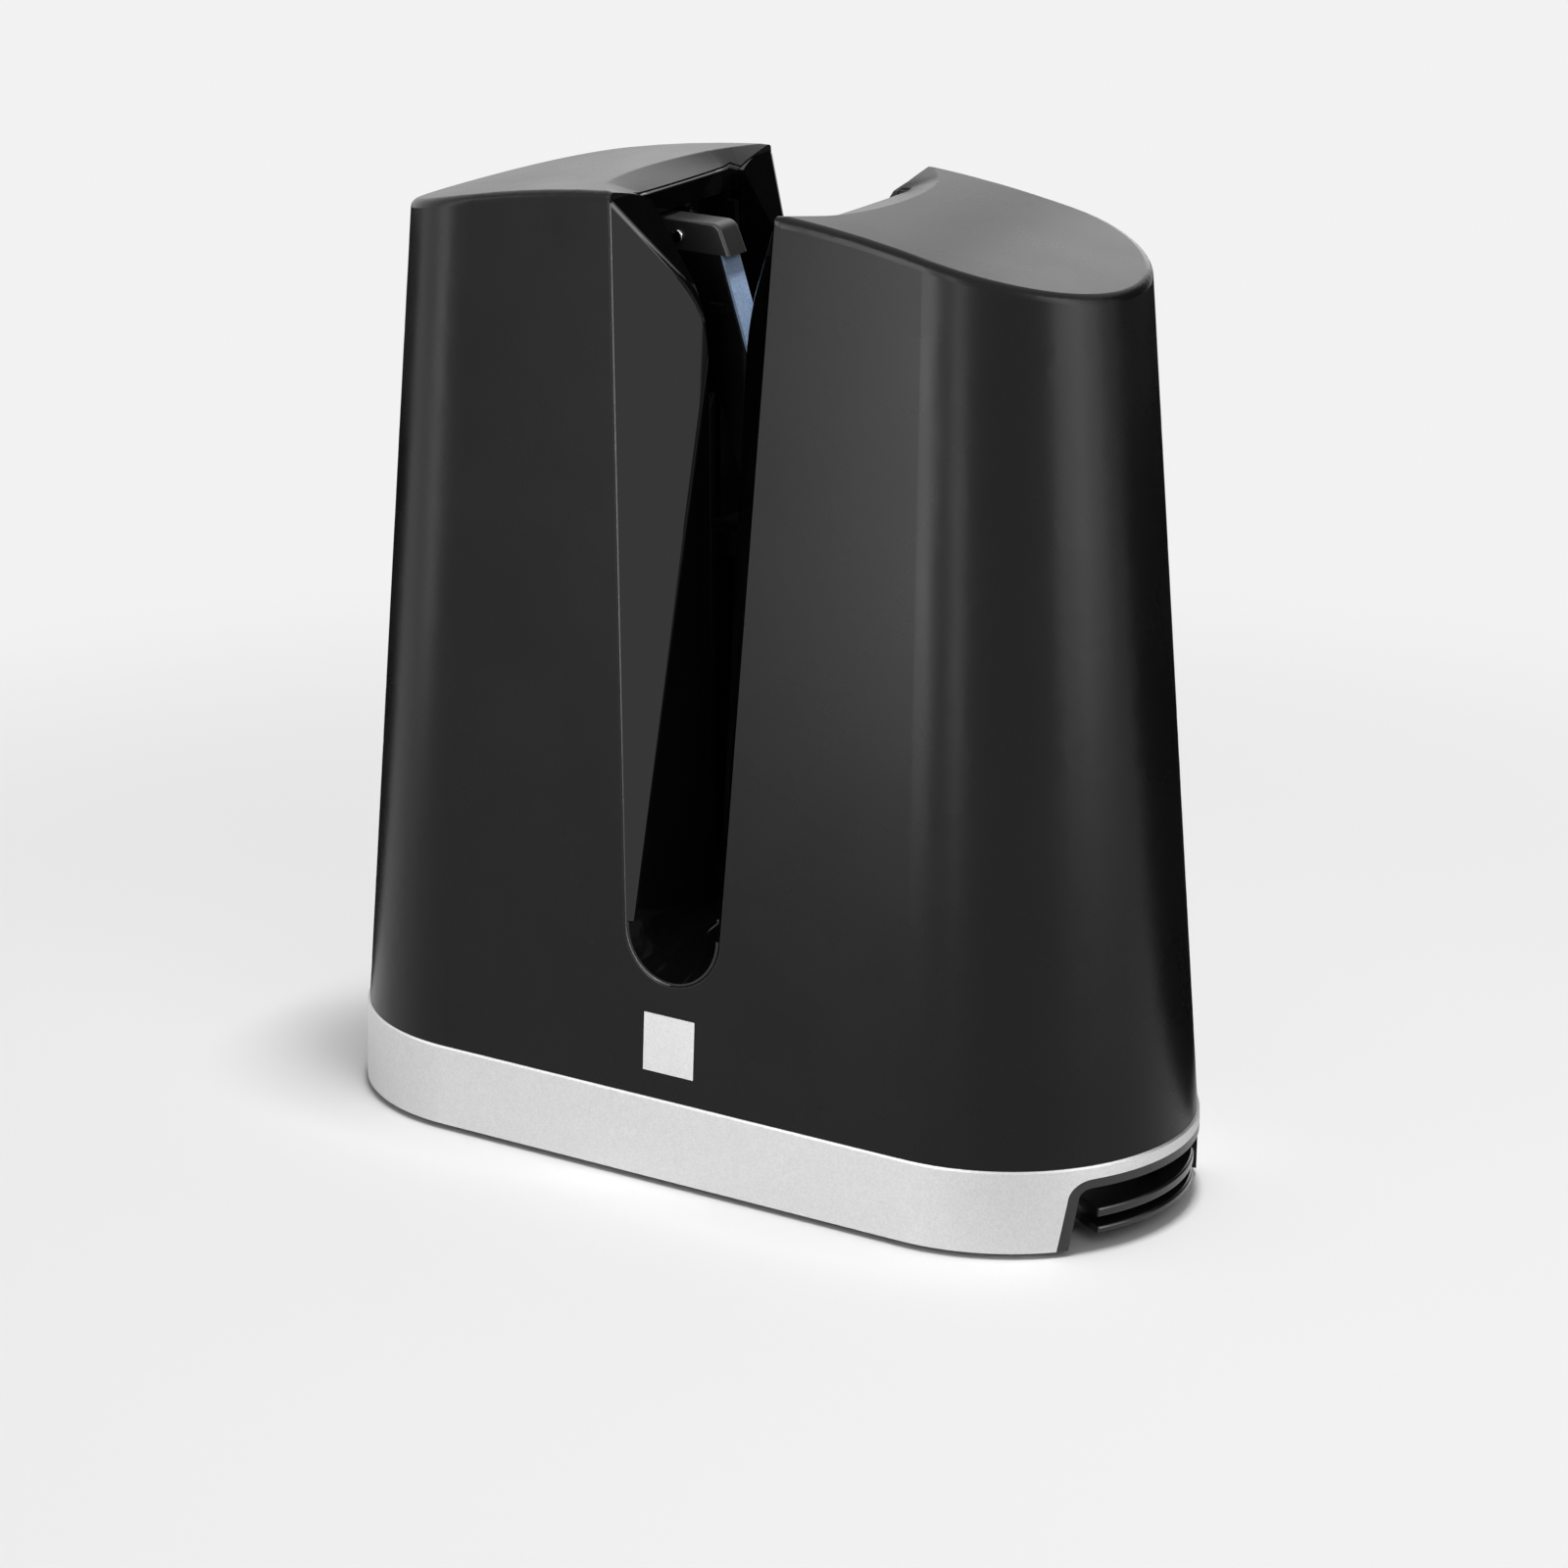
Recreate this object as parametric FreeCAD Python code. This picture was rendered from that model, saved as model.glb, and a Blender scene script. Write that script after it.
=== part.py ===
import FreeCAD, Part
import math
import os

from FreeCAD import Vector as V

# Electric knife sharpener, in millimetres, +Z up.
# The origin is on the table, under the middle of the base.
# +X is the end with the cord recess, -Y is the face with the badge plate.

# Housing
BODY_LENGTH = 223.8
BODY_WIDTH = 91.0
HOUSING_BASE_Z = 21.5
CROWN_Z = 237.0
CROWN_R = 319.0
SIDE_DRAFT = 0.0556
END_DRAFT = 0.0758
WALL = 2.5
CROWN_EDGE_R = 2.4
SLOT_EDGE_R = 0.5
SEAM = 0.15

# Slot through the housing, seen from the front
SLOT_LOW_Z = 50.0
SLOT_ROUND_R = 13.35
SLOT_LEAN = math.radians(3.07)

# Blade gap between the funnel flanks
THROAT_HALF = 4.9
THROAT_LOW_Z = 58.0
FLARE_Z = CROWN_Z - 40.0
FLARE_R = 36.0
FLARE_TURN = math.radians(33.5)
FLANK_WALL = 2.6
CREASE_LOW = 0.9
CREASE_R = 2.5
ROLL_R = 2.6
FLANK_WEB = 2.2
FLANK_ROOF = 2.6

# Dished top: a bevel from a circle near the crown down to the flat rim of the shaft
DISH_DEPTH = 4.45
DISH_RISE = 3.95
DISH_R = BODY_WIDTH / 2 - 3.9
DISH_CORNER_R = 3.0
DISH_EDGE_R = 1.6

# Shaft that the stone carriage slides in
SHAFT_HALF_X = 31.0
SHAFT_HALF_Y = 17.0
LINER_WALL = 2.0
LINER_TOP_Z = CROWN_Z - 8.0
RIM_HALF_X = SHAFT_HALF_X - 6.4
RIM_WALL = 0.9
RIM_DROP = 0.3
RIM_EDGE_R = 0.5
LINER_GAP_Z = CROWN_Z - 49.0

# Base
BAND_LOW_Z = 1.3
BAND_PROUD = 0.5
BAND_FLARE = 0.55
BAND_WALL = 2.2
PAN_FLOOR = 2.2
PAN_WALL = 1.8
FOOT_R = 6.0
FOOT_X = BODY_LENGTH / 2 - 49.9
FOOT_Y = BODY_WIDTH / 2 - 15.5
FOOT_PLUG = 0.8
BOSS_X = BODY_LENGTH / 2 - 55.9
BOSS_R = 4.5
BOSS_TOP_Z = 46.0
SCREW_R = 1.5
SCREW_HEAD_R = 3.0
SCREW_HEAD = 2.2

# Cord recess at the +X end
ARCH_HALF_LOW = BODY_WIDTH / 2 - 13.2
ARCH_LEAN = 0.18
ARCH_TOP_Z = 18.2
ARCH_CORNER_R = 5.0
BEZEL_WIDTH = 2.2
BEZEL_DEPTH = 9.0
FLANGE_R = BODY_WIDTH / 2 - 0.7
FLANGE_ROOT_R = FLANGE_R - 10.8
FLANGE_TURN = 30.0
LOW_FLANGE_Z = 3.6
LOW_FLANGE = 1.8
HIGH_FLANGE_Z = 7.6
HIGH_FLANGE = 2.5
CORE_WALL = 2.0
CORE_TURN = 37.0
RECESS_WALL_TURN = 76.0
GLAND_R = 3.6
GLAND_BORE_R = 2.4
GLAND_TURN = 50.0
GLAND_LENGTH = 6.0

# Badge plate
BADGE_SIZE = 14.4
BADGE_THICK = 0.8
BADGE_PROUD = 0.15
BADGE_LOW_Z = 28.0

# Stones and their holders, given for the left side
PIN_X = 10.0 - SHAFT_HALF_X
PIN_R = 1.5
PIN_PROUD = 0.7
STONE_ANGLE = math.radians(18.0)
STONE_TOP_X = -8.9
STONE_TOP_Z = CROWN_Z - 18.8
STONE_LENGTH = 58.0
STONE_THICK = 5.0
STONE_WIDE = 6.6
HOLDER_FRONT_Y = -8.3
HOLDER_BACK_Y = -0.6
HOLDER_CHEEK = 0.8
HOLDER_THICK = 6.0
CAP_LOW_Z = STONE_TOP_Z + 0.1
CAP_TALL = 7.3
PIN_Z = CAP_LOW_Z + 3.3
CAP_LEFT_X = 1.5 - SHAFT_HALF_X
CAP_TIP_X = -6.6
CAP_SLANT = 3.2
CAP_ROUND_R = 3.0
CAP_EDGE_R = 0.7
CAP_HEEL = 1.5
LUG_RIGHT_X = -7.4
LUG_WIDE = 4.2
LUG_TOP_Z = STONE_TOP_Z - 11.2
LUG_TALL = 2.6
LUG_PROUD = 1.4

# Stone carriage and its drive
CARRIAGE_LOW_Z = STONE_TOP_Z - 72.2
TRAVEL = CARRIAGE_LOW_Z - THROAT_LOW_Z - 3.0
CARRIAGE_SIDE_GAP = 0.8
BRIDGE = 6.0
POST_INNER_X = SHAFT_HALF_X - 16.0
POST_FRONT_Y = 0.2
POST_TOP_Z = PIN_Z + 2.8
ROD_X = SHAFT_HALF_X - 4.0
ROD_Y = 4.3
ROD_R = 2.0
ROD_BUSH_WALL = 0.9
ROD_BUSH = 8.0
ROD_BOSS_R = 2.9
ROD_BOSS_LOW_Z = PIN_Z + 1.0
POST_STEP_Z = PIN_Z + 0.4
POST_SLOPE = 0.4
RUN_FIT = 0.05
SPRING_R = 2.8
SPRING_LENGTH = 2.1
PIN_TAIL = 5.4

# Gear train: modules, teeth, places
RACK_MODULE = 1.0
RACK_PINION_TEETH = 16
MAIN_MODULE = 0.8
MAIN_WHEEL_TEETH = 48
IDLER_PINION_TEETH = 12
FAST_MODULE = 0.6
IDLER_WHEEL_TEETH = 45
MOTOR_PINION_TEETH = 12
TOOTH_SHARE = 0.36
TOOTH_TIP_SHARE = 0.22
TOOTH_RISE = 0.75
TOOTH_FALL = 1.1
RACK_TEETH = math.ceil(TRAVEL / (math.pi * RACK_MODULE)) + 3
RACK_HIGH_Z = CROWN_Z - 15.0
RACK_BACK_X = SHAFT_HALF_X + LINER_WALL + 0.6
RACK_BODY = 2.2
RACK_LUG = 26.0
RACK_LUG_Z = CARRIAGE_LOW_Z + 26.0
PINION_Z = RACK_HIGH_Z - (RACK_TEETH - 1.5) * math.pi * RACK_MODULE
RACK_WIDE = 5.8
GEAR_WIDE = 4.0
SHAFT_R = 2.0
IDLER_TURN = math.radians(-50.0)
MOTOR_TURN = math.radians(-80.0)
FRONT_PLATE_Y = -29.0
REAR_PLATE_Y = -15.0
PLATE = 1.6
BUSH_WALL = 1.4
MOTOR_R = 16.0
MOTOR_LENGTH = 36.0
MOTOR_CAP = 6.0
MOTOR_SHAFT_R = 1.0
MOTOR_BOSS_R = 3.5
MOTOR_SCREW_REACH = 10.0
MOTOR_TAB_REACH = 8.0
MOTOR_TAB = 4.0
SPACER_R = 3.0
SPACER_IN = 4.0
WHEEL_HOLES = 5
WHEEL_HOLE_REACH = 11.0
WHEEL_HOLE_R = 3.4
SHAFT_END = 0.6

# Edges of the gear plates, measured from the shafts and from the housing's wall
PLATE_CLEAR = 5.0
PLATE_LEFT = 7.0
PLATE_ABOVE = 22.0
PLATE_BELOW = 24.0
PLATE_TOP_REACH = 23.0
PLATE_SIDE = 20.0
PLATE_UNDER = 18.0
PLATE_SHOULDER = 8.0
PLATE_FOOT = 14.0
PLATE_FOOT_SCREW = 8.0

# Electrics in the left half
BOARD_WIDE = 44.0
BOARD_GAP = 7.0
BOARD_X = -(SHAFT_HALF_X + LINER_WALL + BOARD_GAP + BOARD_WIDE / 2)
BOARD_TALL = 62.0
BOARD_THICK = 1.6
BOARD_Y = 12.0
BOARD_LOW_Z = 46.0
BRACKET_THICK = 2.0
BRACKET_FOOT = 16.0
BRACKET_DROP = 4.0
WINDOW_SIDE = 8.0
WINDOW_SILL = 10.0
STANDOFF_R = 2.5
STANDOFF_LONG = 6.0
STANDOFF_SIDE = 5.0
STANDOFF_LOW = 8.0
STANDOFF_HIGH = 10.0
BOARD_HOLE_R = 1.2
MODULE_LEFT = 10.0
MODULE_RIGHT = 12.0
MODULE_DROP = 4.0
MODULE_TALL = 20.0
MODULE_DEEP = 15.0
CAN_R = 6.0
CAN_TALL = 20.0
CAN_SIDE = 8.0
CAN_HIGH = 18.0
BLOCK_SIDE = 2.0
BLOCK_WIDE = 18.0
BLOCK_DEEP = 9.0
BLOCK_LOW = 1.0
BLOCK_TALL = 8.0
BLOCK_WAYS = 3
BLOCK_HOLE_R = 1.6
BUTTON_X = BOARD_X
BUTTON_Z = 74.0
BUTTON_R = 7.0
BUTTON_GAP = 0.3
BUTTON_PROUD = 0.9
BUTTON_TRAVEL = 1.6
BUTTON_THICK = 3.0
BUTTON_EDGE_R = 0.9
BUTTON_STEM_R = 2.0
SWITCH_HALF = 6.0
SWITCH_TALL = 12.0
PLUNGER_R = 2.4
PLUNGER_TALL = 1.5
BUTTON_SPRING_R = 4.0


def slot_half(z):
    """Half width of the slot at height z."""
    foot_x = SLOT_ROUND_R * math.cos(SLOT_LEAN)
    foot_z = SLOT_LOW_Z + SLOT_ROUND_R - SLOT_ROUND_R * math.sin(SLOT_LEAN)
    return foot_x + (z - foot_z) * math.tan(SLOT_LEAN)


def end_radius(z):
    """Radius of the rounded ends of the housing at height z."""
    return BODY_WIDTH / 2 - SIDE_DRAFT * (z - HOUSING_BASE_Z)


def half_flat(z):
    """Half length of the flat sides of the housing at height z."""
    return (BODY_LENGTH - BODY_WIDTH) / 2 - (END_DRAFT - SIDE_DRAFT) * (z - HOUSING_BASE_Z)


def crown_height(x, drop=0.0):
    """Height of the crowned top at x."""
    return CROWN_Z - drop - CROWN_R + math.sqrt(CROWN_R * CROWN_R - x * x)


END_CENTRE_X = half_flat(HOUSING_BASE_Z)
SLOT_ROUND_Z = SLOT_LOW_Z + SLOT_ROUND_R
THROAT_Y = SHAFT_HALF_Y + LINER_WALL + SEAM
RIM_HALF_Y = THROAT_Y
RIM_Z = CROWN_Z - DISH_DEPTH
OVER_Z = CROWN_Z + 10
PINION_R = RACK_MODULE * RACK_PINION_TEETH / 2
RACK_PITCH_X = RACK_BACK_X + RACK_BODY + TOOTH_FALL * RACK_MODULE
PINION_X = RACK_PITCH_X + PINION_R
IDLER_REACH = MAIN_MODULE * (MAIN_WHEEL_TEETH + IDLER_PINION_TEETH) / 2
IDLER_X = PINION_X + IDLER_REACH * math.cos(IDLER_TURN)
IDLER_Z = PINION_Z + IDLER_REACH * math.sin(IDLER_TURN)
MOTOR_REACH = FAST_MODULE * (IDLER_WHEEL_TEETH + MOTOR_PINION_TEETH) / 2
MOTOR_X = IDLER_X + MOTOR_REACH * math.cos(MOTOR_TURN)
MOTOR_Z = IDLER_Z + MOTOR_REACH * math.sin(MOTOR_TURN)
PAN_FLOOR_Z = BAND_LOW_Z + PAN_FLOOR
BOSS_Y = end_radius(HOUSING_BASE_Z) - WALL - BOSS_R + 0.4


def box(x0, x1, y0, y1, z0, z1):
    return Part.makeBox(x1 - x0, y1 - y0, z1 - z0, V(x0, y0, z0))


def rod_y(r, x, z, y0, y1):
    """Cylinder along Y."""
    return Part.makeCylinder(r, y1 - y0, V(x, y0, z), V(0, 1, 0))


def rod_z(r, x, y, z0, z1):
    """Cylinder along Z."""
    return Part.makeCylinder(r, z1 - z0, V(x, y, z0))


def prism_y(edges, y0, y1):
    """Solid between y0 and y1 with an outline of edges in the XZ plane."""
    face = Part.Face(Part.Wire(edges))
    solid = face.extrude(V(0, y1 - y0, 0))
    solid.translate(V(0, y0, 0))
    return solid


def line(a, b):
    return Part.makeLine(V(a[0], 0, a[1]), V(b[0], 0, b[1]))


def arc(a, mid, b):
    return Part.Arc(V(a[0], 0, a[1]), V(mid[0], 0, mid[1]), V(b[0], 0, b[1])).toShape()


def outline(points):
    """Closed run of straight edges in the XZ plane."""
    return [line(a, b) for a, b in zip(points, points[1:] + points[:1])]


def stadium(flat, r, z):
    """Closed wire with two straight sides and two round ends."""
    sides = [
        Part.makeLine(V(-flat, -r, z), V(flat, -r, z)),
        Part.Arc(V(flat, -r, z), V(flat + r, 0, z), V(flat, r, z)).toShape(),
        Part.makeLine(V(flat, r, z), V(-flat, r, z)),
        Part.Arc(V(-flat, r, z), V(-flat - r, 0, z), V(-flat, -r, z)).toShape(),
    ]
    return Part.Wire(sides)


def housing_block(z0, z1, inset):
    """Tapered block of the housing's plan between two heights."""
    wires = [stadium(half_flat(z), end_radius(z) - inset, z) for z in (z0, z1)]
    return Part.makeLoft(wires, True, True)


def under_crown(drop):
    """Everything under the crowned top, lowered by drop."""
    reach = BODY_LENGTH / 2 + 20
    side = crown_height(reach, drop)
    edges = [
        line((-reach, -10), (reach, -10)),
        line((reach, -10), (reach, side)),
        arc((reach, side), (0, CROWN_Z - drop), (-reach, side)),
        line((-reach, side), (-reach, -10)),
    ]
    return prism_y(edges, -BODY_WIDTH, BODY_WIDTH)


def slot_prism(y0, y1, inset):
    """Slot outline between y0 and y1, drawn in by inset."""
    r = SLOT_ROUND_R - inset
    foot_x = r * math.cos(SLOT_LEAN)
    foot_z = SLOT_ROUND_Z - r * math.sin(SLOT_LEAN)
    top_x = foot_x + (OVER_Z - foot_z) * math.tan(SLOT_LEAN)
    edges = [
        arc((-foot_x, foot_z), (0, SLOT_ROUND_Z - r), (foot_x, foot_z)),
        line((foot_x, foot_z), (top_x, OVER_Z)),
        line((top_x, OVER_Z), (-top_x, OVER_Z)),
        line((-top_x, OVER_Z), (-foot_x, foot_z)),
    ]
    return prism_y(edges, y0, y1)


def blade_gap(y0, y1, grow=0.0):
    """Narrow gap for the blade, which flares open at its top, widened by grow."""
    half = THROAT_HALF + grow
    r = FLARE_R - grow
    low_z = THROAT_LOW_Z + THROAT_HALF
    turn_x = half + r * (1 - math.cos(FLARE_TURN))
    turn_z = FLARE_Z + r * math.sin(FLARE_TURN)
    mid_x = half + r * (1 - math.cos(FLARE_TURN / 2))
    mid_z = FLARE_Z + r * math.sin(FLARE_TURN / 2)
    top_x = turn_x + (OVER_Z - turn_z) * math.tan(FLARE_TURN)
    edges = [
        arc((-half, low_z), (0, low_z - half), (half, low_z)),
        line((half, low_z), (half, FLARE_Z)),
        arc((half, FLARE_Z), (mid_x, mid_z), (turn_x, turn_z)),
        line((turn_x, turn_z), (top_x, OVER_Z)),
        line((top_x, OVER_Z), (-top_x, OVER_Z)),
        line((-top_x, OVER_Z), (-turn_x, turn_z)),
        arc((-turn_x, turn_z), (-mid_x, mid_z), (-half, FLARE_Z)),
        line((-half, FLARE_Z), (-half, low_z)),
    ]
    return prism_y(edges, y0, y1)


def flare_half(z):
    """Half width of the blade gap at height z, above its round bottom."""
    turn_z = FLARE_Z + FLARE_R * math.sin(FLARE_TURN)
    if z <= FLARE_Z:
        return THROAT_HALF
    if z <= turn_z:
        return THROAT_HALF + FLARE_R - math.sqrt(FLARE_R ** 2 - (z - FLARE_Z) ** 2)
    return THROAT_HALF + FLARE_R * (1 - math.cos(FLARE_TURN)) + (z - turn_z) * math.tan(FLARE_TURN)


def edges_where(shape, test):
    """Edges of a shape whose middle point passes a test."""
    found = []
    for edge in shape.Edges:
        middle = edge.valueAt((edge.FirstParameter + edge.LastParameter) / 2)
        if test(middle):
            found.append(edge)
    return found


def behind_plane(a, b, c, shift):
    """Large block on the -X side of the plane through a, b and c, moved by shift towards -X."""
    normal = (b - a).cross(c - a)
    normal.normalize()
    if normal.x < 0:
        normal = normal * -1
    size = 600.0
    block = Part.makeBox(size, size, size, V(-size / 2, -size / 2, -size))
    block.Placement = FreeCAD.Placement(a - normal * shift, FreeCAD.Rotation(V(0, 0, 1), normal))
    return block


def mirrored_x(shape):
    return shape.mirror(V(0, 0, 0), V(1, 0, 0))


def turned(shape):
    """The same shape half a turn round the middle of the object."""
    copy = shape.copy()
    copy.rotate(V(0, 0, 0), V(0, 0, 1), 180)
    return copy


def housing_top_cut(grow):
    """Opening in the housing's top for the rim of the shaft."""
    x = RIM_HALF_X + RIM_WALL + grow
    y = RIM_HALF_Y + RIM_WALL + grow
    return box(-x, x, -y, y, SLOT_ROUND_Z, OVER_Z)


def rim_wire(z):
    """Rounded rectangle at the rim of the shaft, drawn from the middle of its +X side."""
    x = RIM_HALF_X
    y = RIM_HALF_Y
    r = DISH_CORNER_R
    near = r * (1 - math.sqrt(0.5))
    edges = []
    for a, b, mid in (
        ((x, -(y - r)), (x, y - r), None),
        ((x, y - r), (x - r, y), (x - near, y - near)),
        ((x - r, y), (-(x - r), y), None),
        ((-(x - r), y), (-x, y - r), (-(x - near), y - near)),
        ((-x, y - r), (-x, -(y - r)), None),
        ((-x, -(y - r)), (-(x - r), -y), (-(x - near), -(y - near))),
        ((-(x - r), -y), (x - r, -y), None),
        ((x - r, -y), (x, -(y - r)), (x - near, -(y - near))),
    ):
        start = V(a[0], a[1], z)
        end = V(b[0], b[1], z)
        if mid is None:
            edges.append(Part.makeLine(start, end))
        else:
            edges.append(Part.Arc(start, V(mid[0], mid[1], z), end).toShape())
    return Part.Wire(edges)


def circle_wire(r, z):
    """Circle in eight arcs that face the eight edges of the rim."""
    x = RIM_HALF_X
    y = RIM_HALF_Y
    corner = DISH_CORNER_R
    side = math.atan2(y - corner, x)
    end = math.atan2(y, x - corner)
    turns = [-side, side, end, math.pi - end, math.pi - side,
             math.pi + side, math.pi + end, 2 * math.pi - end, 2 * math.pi - side]
    edges = []
    for a, b in zip(turns, turns[1:]):
        spots = [V(r * math.cos(t), r * math.sin(t), z) for t in (a, (a + b) / 2, b)]
        edges.append(Part.Arc(*spots).toShape())
    return Part.Wire(edges)


def dish(drop):
    """What the dished top takes away, lowered by drop."""
    low = RIM_Z - drop
    high = low + DISH_RISE
    bevel = Part.makeLoft([rim_wire(low), circle_wire(DISH_R, high)], True, True)
    return bevel.fuse(rod_z(DISH_R, 0, 0, high, OVER_Z))


def on_side(point):
    """True for a point on the housing's upright outside."""
    past = max(0.0, abs(point.x) - half_flat(point.z))
    return abs(math.hypot(past, point.y) - end_radius(point.z)) < 0.02


def on_crown(point):
    return abs(point.z - crown_height(point.x)) < 0.01


def on_slot_edge(point):
    """True for a point on the slot's outline, on the housing's front or back."""
    if point.z > SLOT_ROUND_Z:
        return on_side(point) and abs(abs(point.x) - slot_half(point.z)) < 0.02
    from_middle = math.hypot(point.x, point.z - SLOT_ROUND_Z)
    return on_side(point) and abs(from_middle - SLOT_ROUND_R) < 0.02


def crown_shape():
    """Outside of the housing with its dished top and rounded edges, still solid."""
    block = housing_block(HOUSING_BASE_Z, OVER_Z, 0).common(under_crown(0))
    block = block.cut(dish(0))
    block = block.makeFillet(CROWN_EDGE_R, edges_where(block, lambda p: on_crown(p) and on_side(p)))
    ridge = edges_where(block, lambda p: on_crown(p) and math.hypot(p.x, p.y) < DISH_R)
    return block.makeFillet(DISH_EDGE_R, ridge)


def make_housing_shell():
    shell = crown_shape()
    hollow = housing_block(HOUSING_BASE_Z - 1, OVER_Z, WALL).common(under_crown(WALL))
    hollow = hollow.cut(dish(WALL))
    shell = shell.cut(hollow)
    shell = shell.cut(slot_prism(-BODY_WIDTH, BODY_WIDTH, 0))
    shell = shell.makeFillet(SLOT_EDGE_R, edges_where(shell, on_slot_edge))
    shell = shell.cut(housing_top_cut(SEAM))
    for sx in (-1, 1):
        for sy in (-1, 1):
            boss = rod_z(BOSS_R, sx * BOSS_X, sy * BOSS_Y, HOUSING_BASE_Z, BOSS_TOP_Z)
            shell = shell.fuse(boss)
            pilot = rod_z(SCREW_R, sx * BOSS_X, sy * BOSS_Y, HOUSING_BASE_Z - 1, BOSS_TOP_Z - 2)
            shell = shell.cut(pilot)
    back_y = end_radius(BUTTON_Z)
    shell = shell.cut(rod_y(BUTTON_R + BUTTON_GAP, BUTTON_X, BUTTON_Z, back_y - 10, back_y + 10))
    shell = shell.cut(badge_block(SEAM))
    return shell


def badge_block(grow):
    """Block of the badge plate, square to the front face."""
    half = BADGE_SIZE / 2 + grow
    face_y = -end_radius(BADGE_LOW_Z)
    block = Part.makeBox(2 * half, BADGE_THICK + BADGE_PROUD, BADGE_SIZE + 2 * grow,
                         V(-half, -BADGE_PROUD, -grow))
    block.rotate(V(0, 0, 0), V(1, 0, 0), -math.degrees(math.atan(SIDE_DRAFT)))
    block.translate(V(0, face_y, BADGE_LOW_Z))
    return block


def make_badge_plate():
    return badge_block(0)


def make_front_funnel():
    """Front half of the glossy funnel: two flanks and the fan at the bottom."""
    block = slot_prism(-BODY_WIDTH, -THROAT_Y, SEAM)
    block = block.common(housing_block(HOUSING_BASE_Z, OVER_Z, SEAM)).common(under_crown(SEAM))
    block = block.cut(dish(RIM_DROP))
    low_z = SLOT_ROUND_Z
    lip_x = slot_half(low_z)
    face_low_y = -end_radius(low_z)
    high_z = CROWN_Z
    rim_low = V(-lip_x, face_low_y, low_z)
    rim_high = V(-slot_half(high_z), -end_radius(high_z), high_z)
    crease_low = V(-lip_x + CREASE_LOW, face_low_y, low_z)
    crease_high = V(-THROAT_HALF - 0.3, -THROAT_Y, FLARE_Z)
    throat_low = V(-THROAT_HALF, -THROAT_Y, low_z)
    upper = block.common(box(-60, 0, -60, 0, low_z, OVER_Z))
    flank = upper.common(behind_plane(rim_low, rim_high, crease_high, 0))
    flank = flank.common(behind_plane(crease_low, crease_high, throat_low, 0))
    outer_normal = (rim_high - rim_low).cross(crease_high - rim_low).normalize()
    inner_normal = (crease_high - crease_low).cross(throat_low - crease_low).normalize()

    def outer_depth(point):
        return abs((point - rim_low) * outer_normal)

    def on_crease(point):
        return outer_depth(point) < 0.01 and abs((point - crease_low) * inner_normal) < 0.01

    flank = flank.makeFillet(CREASE_R, edges_where(flank, on_crease))
    hollow = behind_plane(rim_low, rim_high, crease_high, FLANK_WALL)
    hollow = hollow.common(behind_plane(crease_low, crease_high, throat_low, FLANK_WALL))
    hollow = hollow.common(box(-BODY_LENGTH, 0, -BODY_WIDTH, -THROAT_Y - LINER_WALL,
                               low_z + 14, RIM_Z - FLANK_ROOF))
    hollow = hollow.cut(blade_gap(-BODY_WIDTH, 0, FLANK_WEB))
    flank = flank.cut(hollow).cut(blade_gap(-BODY_WIDTH, 0))

    def rolled(point):
        on_flare = abs(abs(point.x) - flare_half(point.z)) < 0.01 and point.z > FLARE_Z + 5
        return on_flare and outer_depth(point) < 0.01

    flank = flank.makeFillet(ROLL_R, edges_where(flank, rolled))
    lower = block.common(box(-60, 60, -60, 0, 0, low_z))
    reach = -face_low_y - THROAT_Y
    lip_r = lip_x - CREASE_LOW
    slope = (lip_r - THROAT_HALF) / reach
    over = 5.0
    fan = Part.makeCone(lip_r + slope * over, THROAT_HALF - slope * over, reach + 2 * over,
                        V(0, face_low_y - over, low_z), V(0, 1, 0))
    lower = lower.cut(fan)
    funnel = lower.fuse([flank, mirrored_x(flank)])
    funnel = funnel.cut(blade_gap(-BODY_WIDTH, 0))
    return funnel.removeSplitter()


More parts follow.
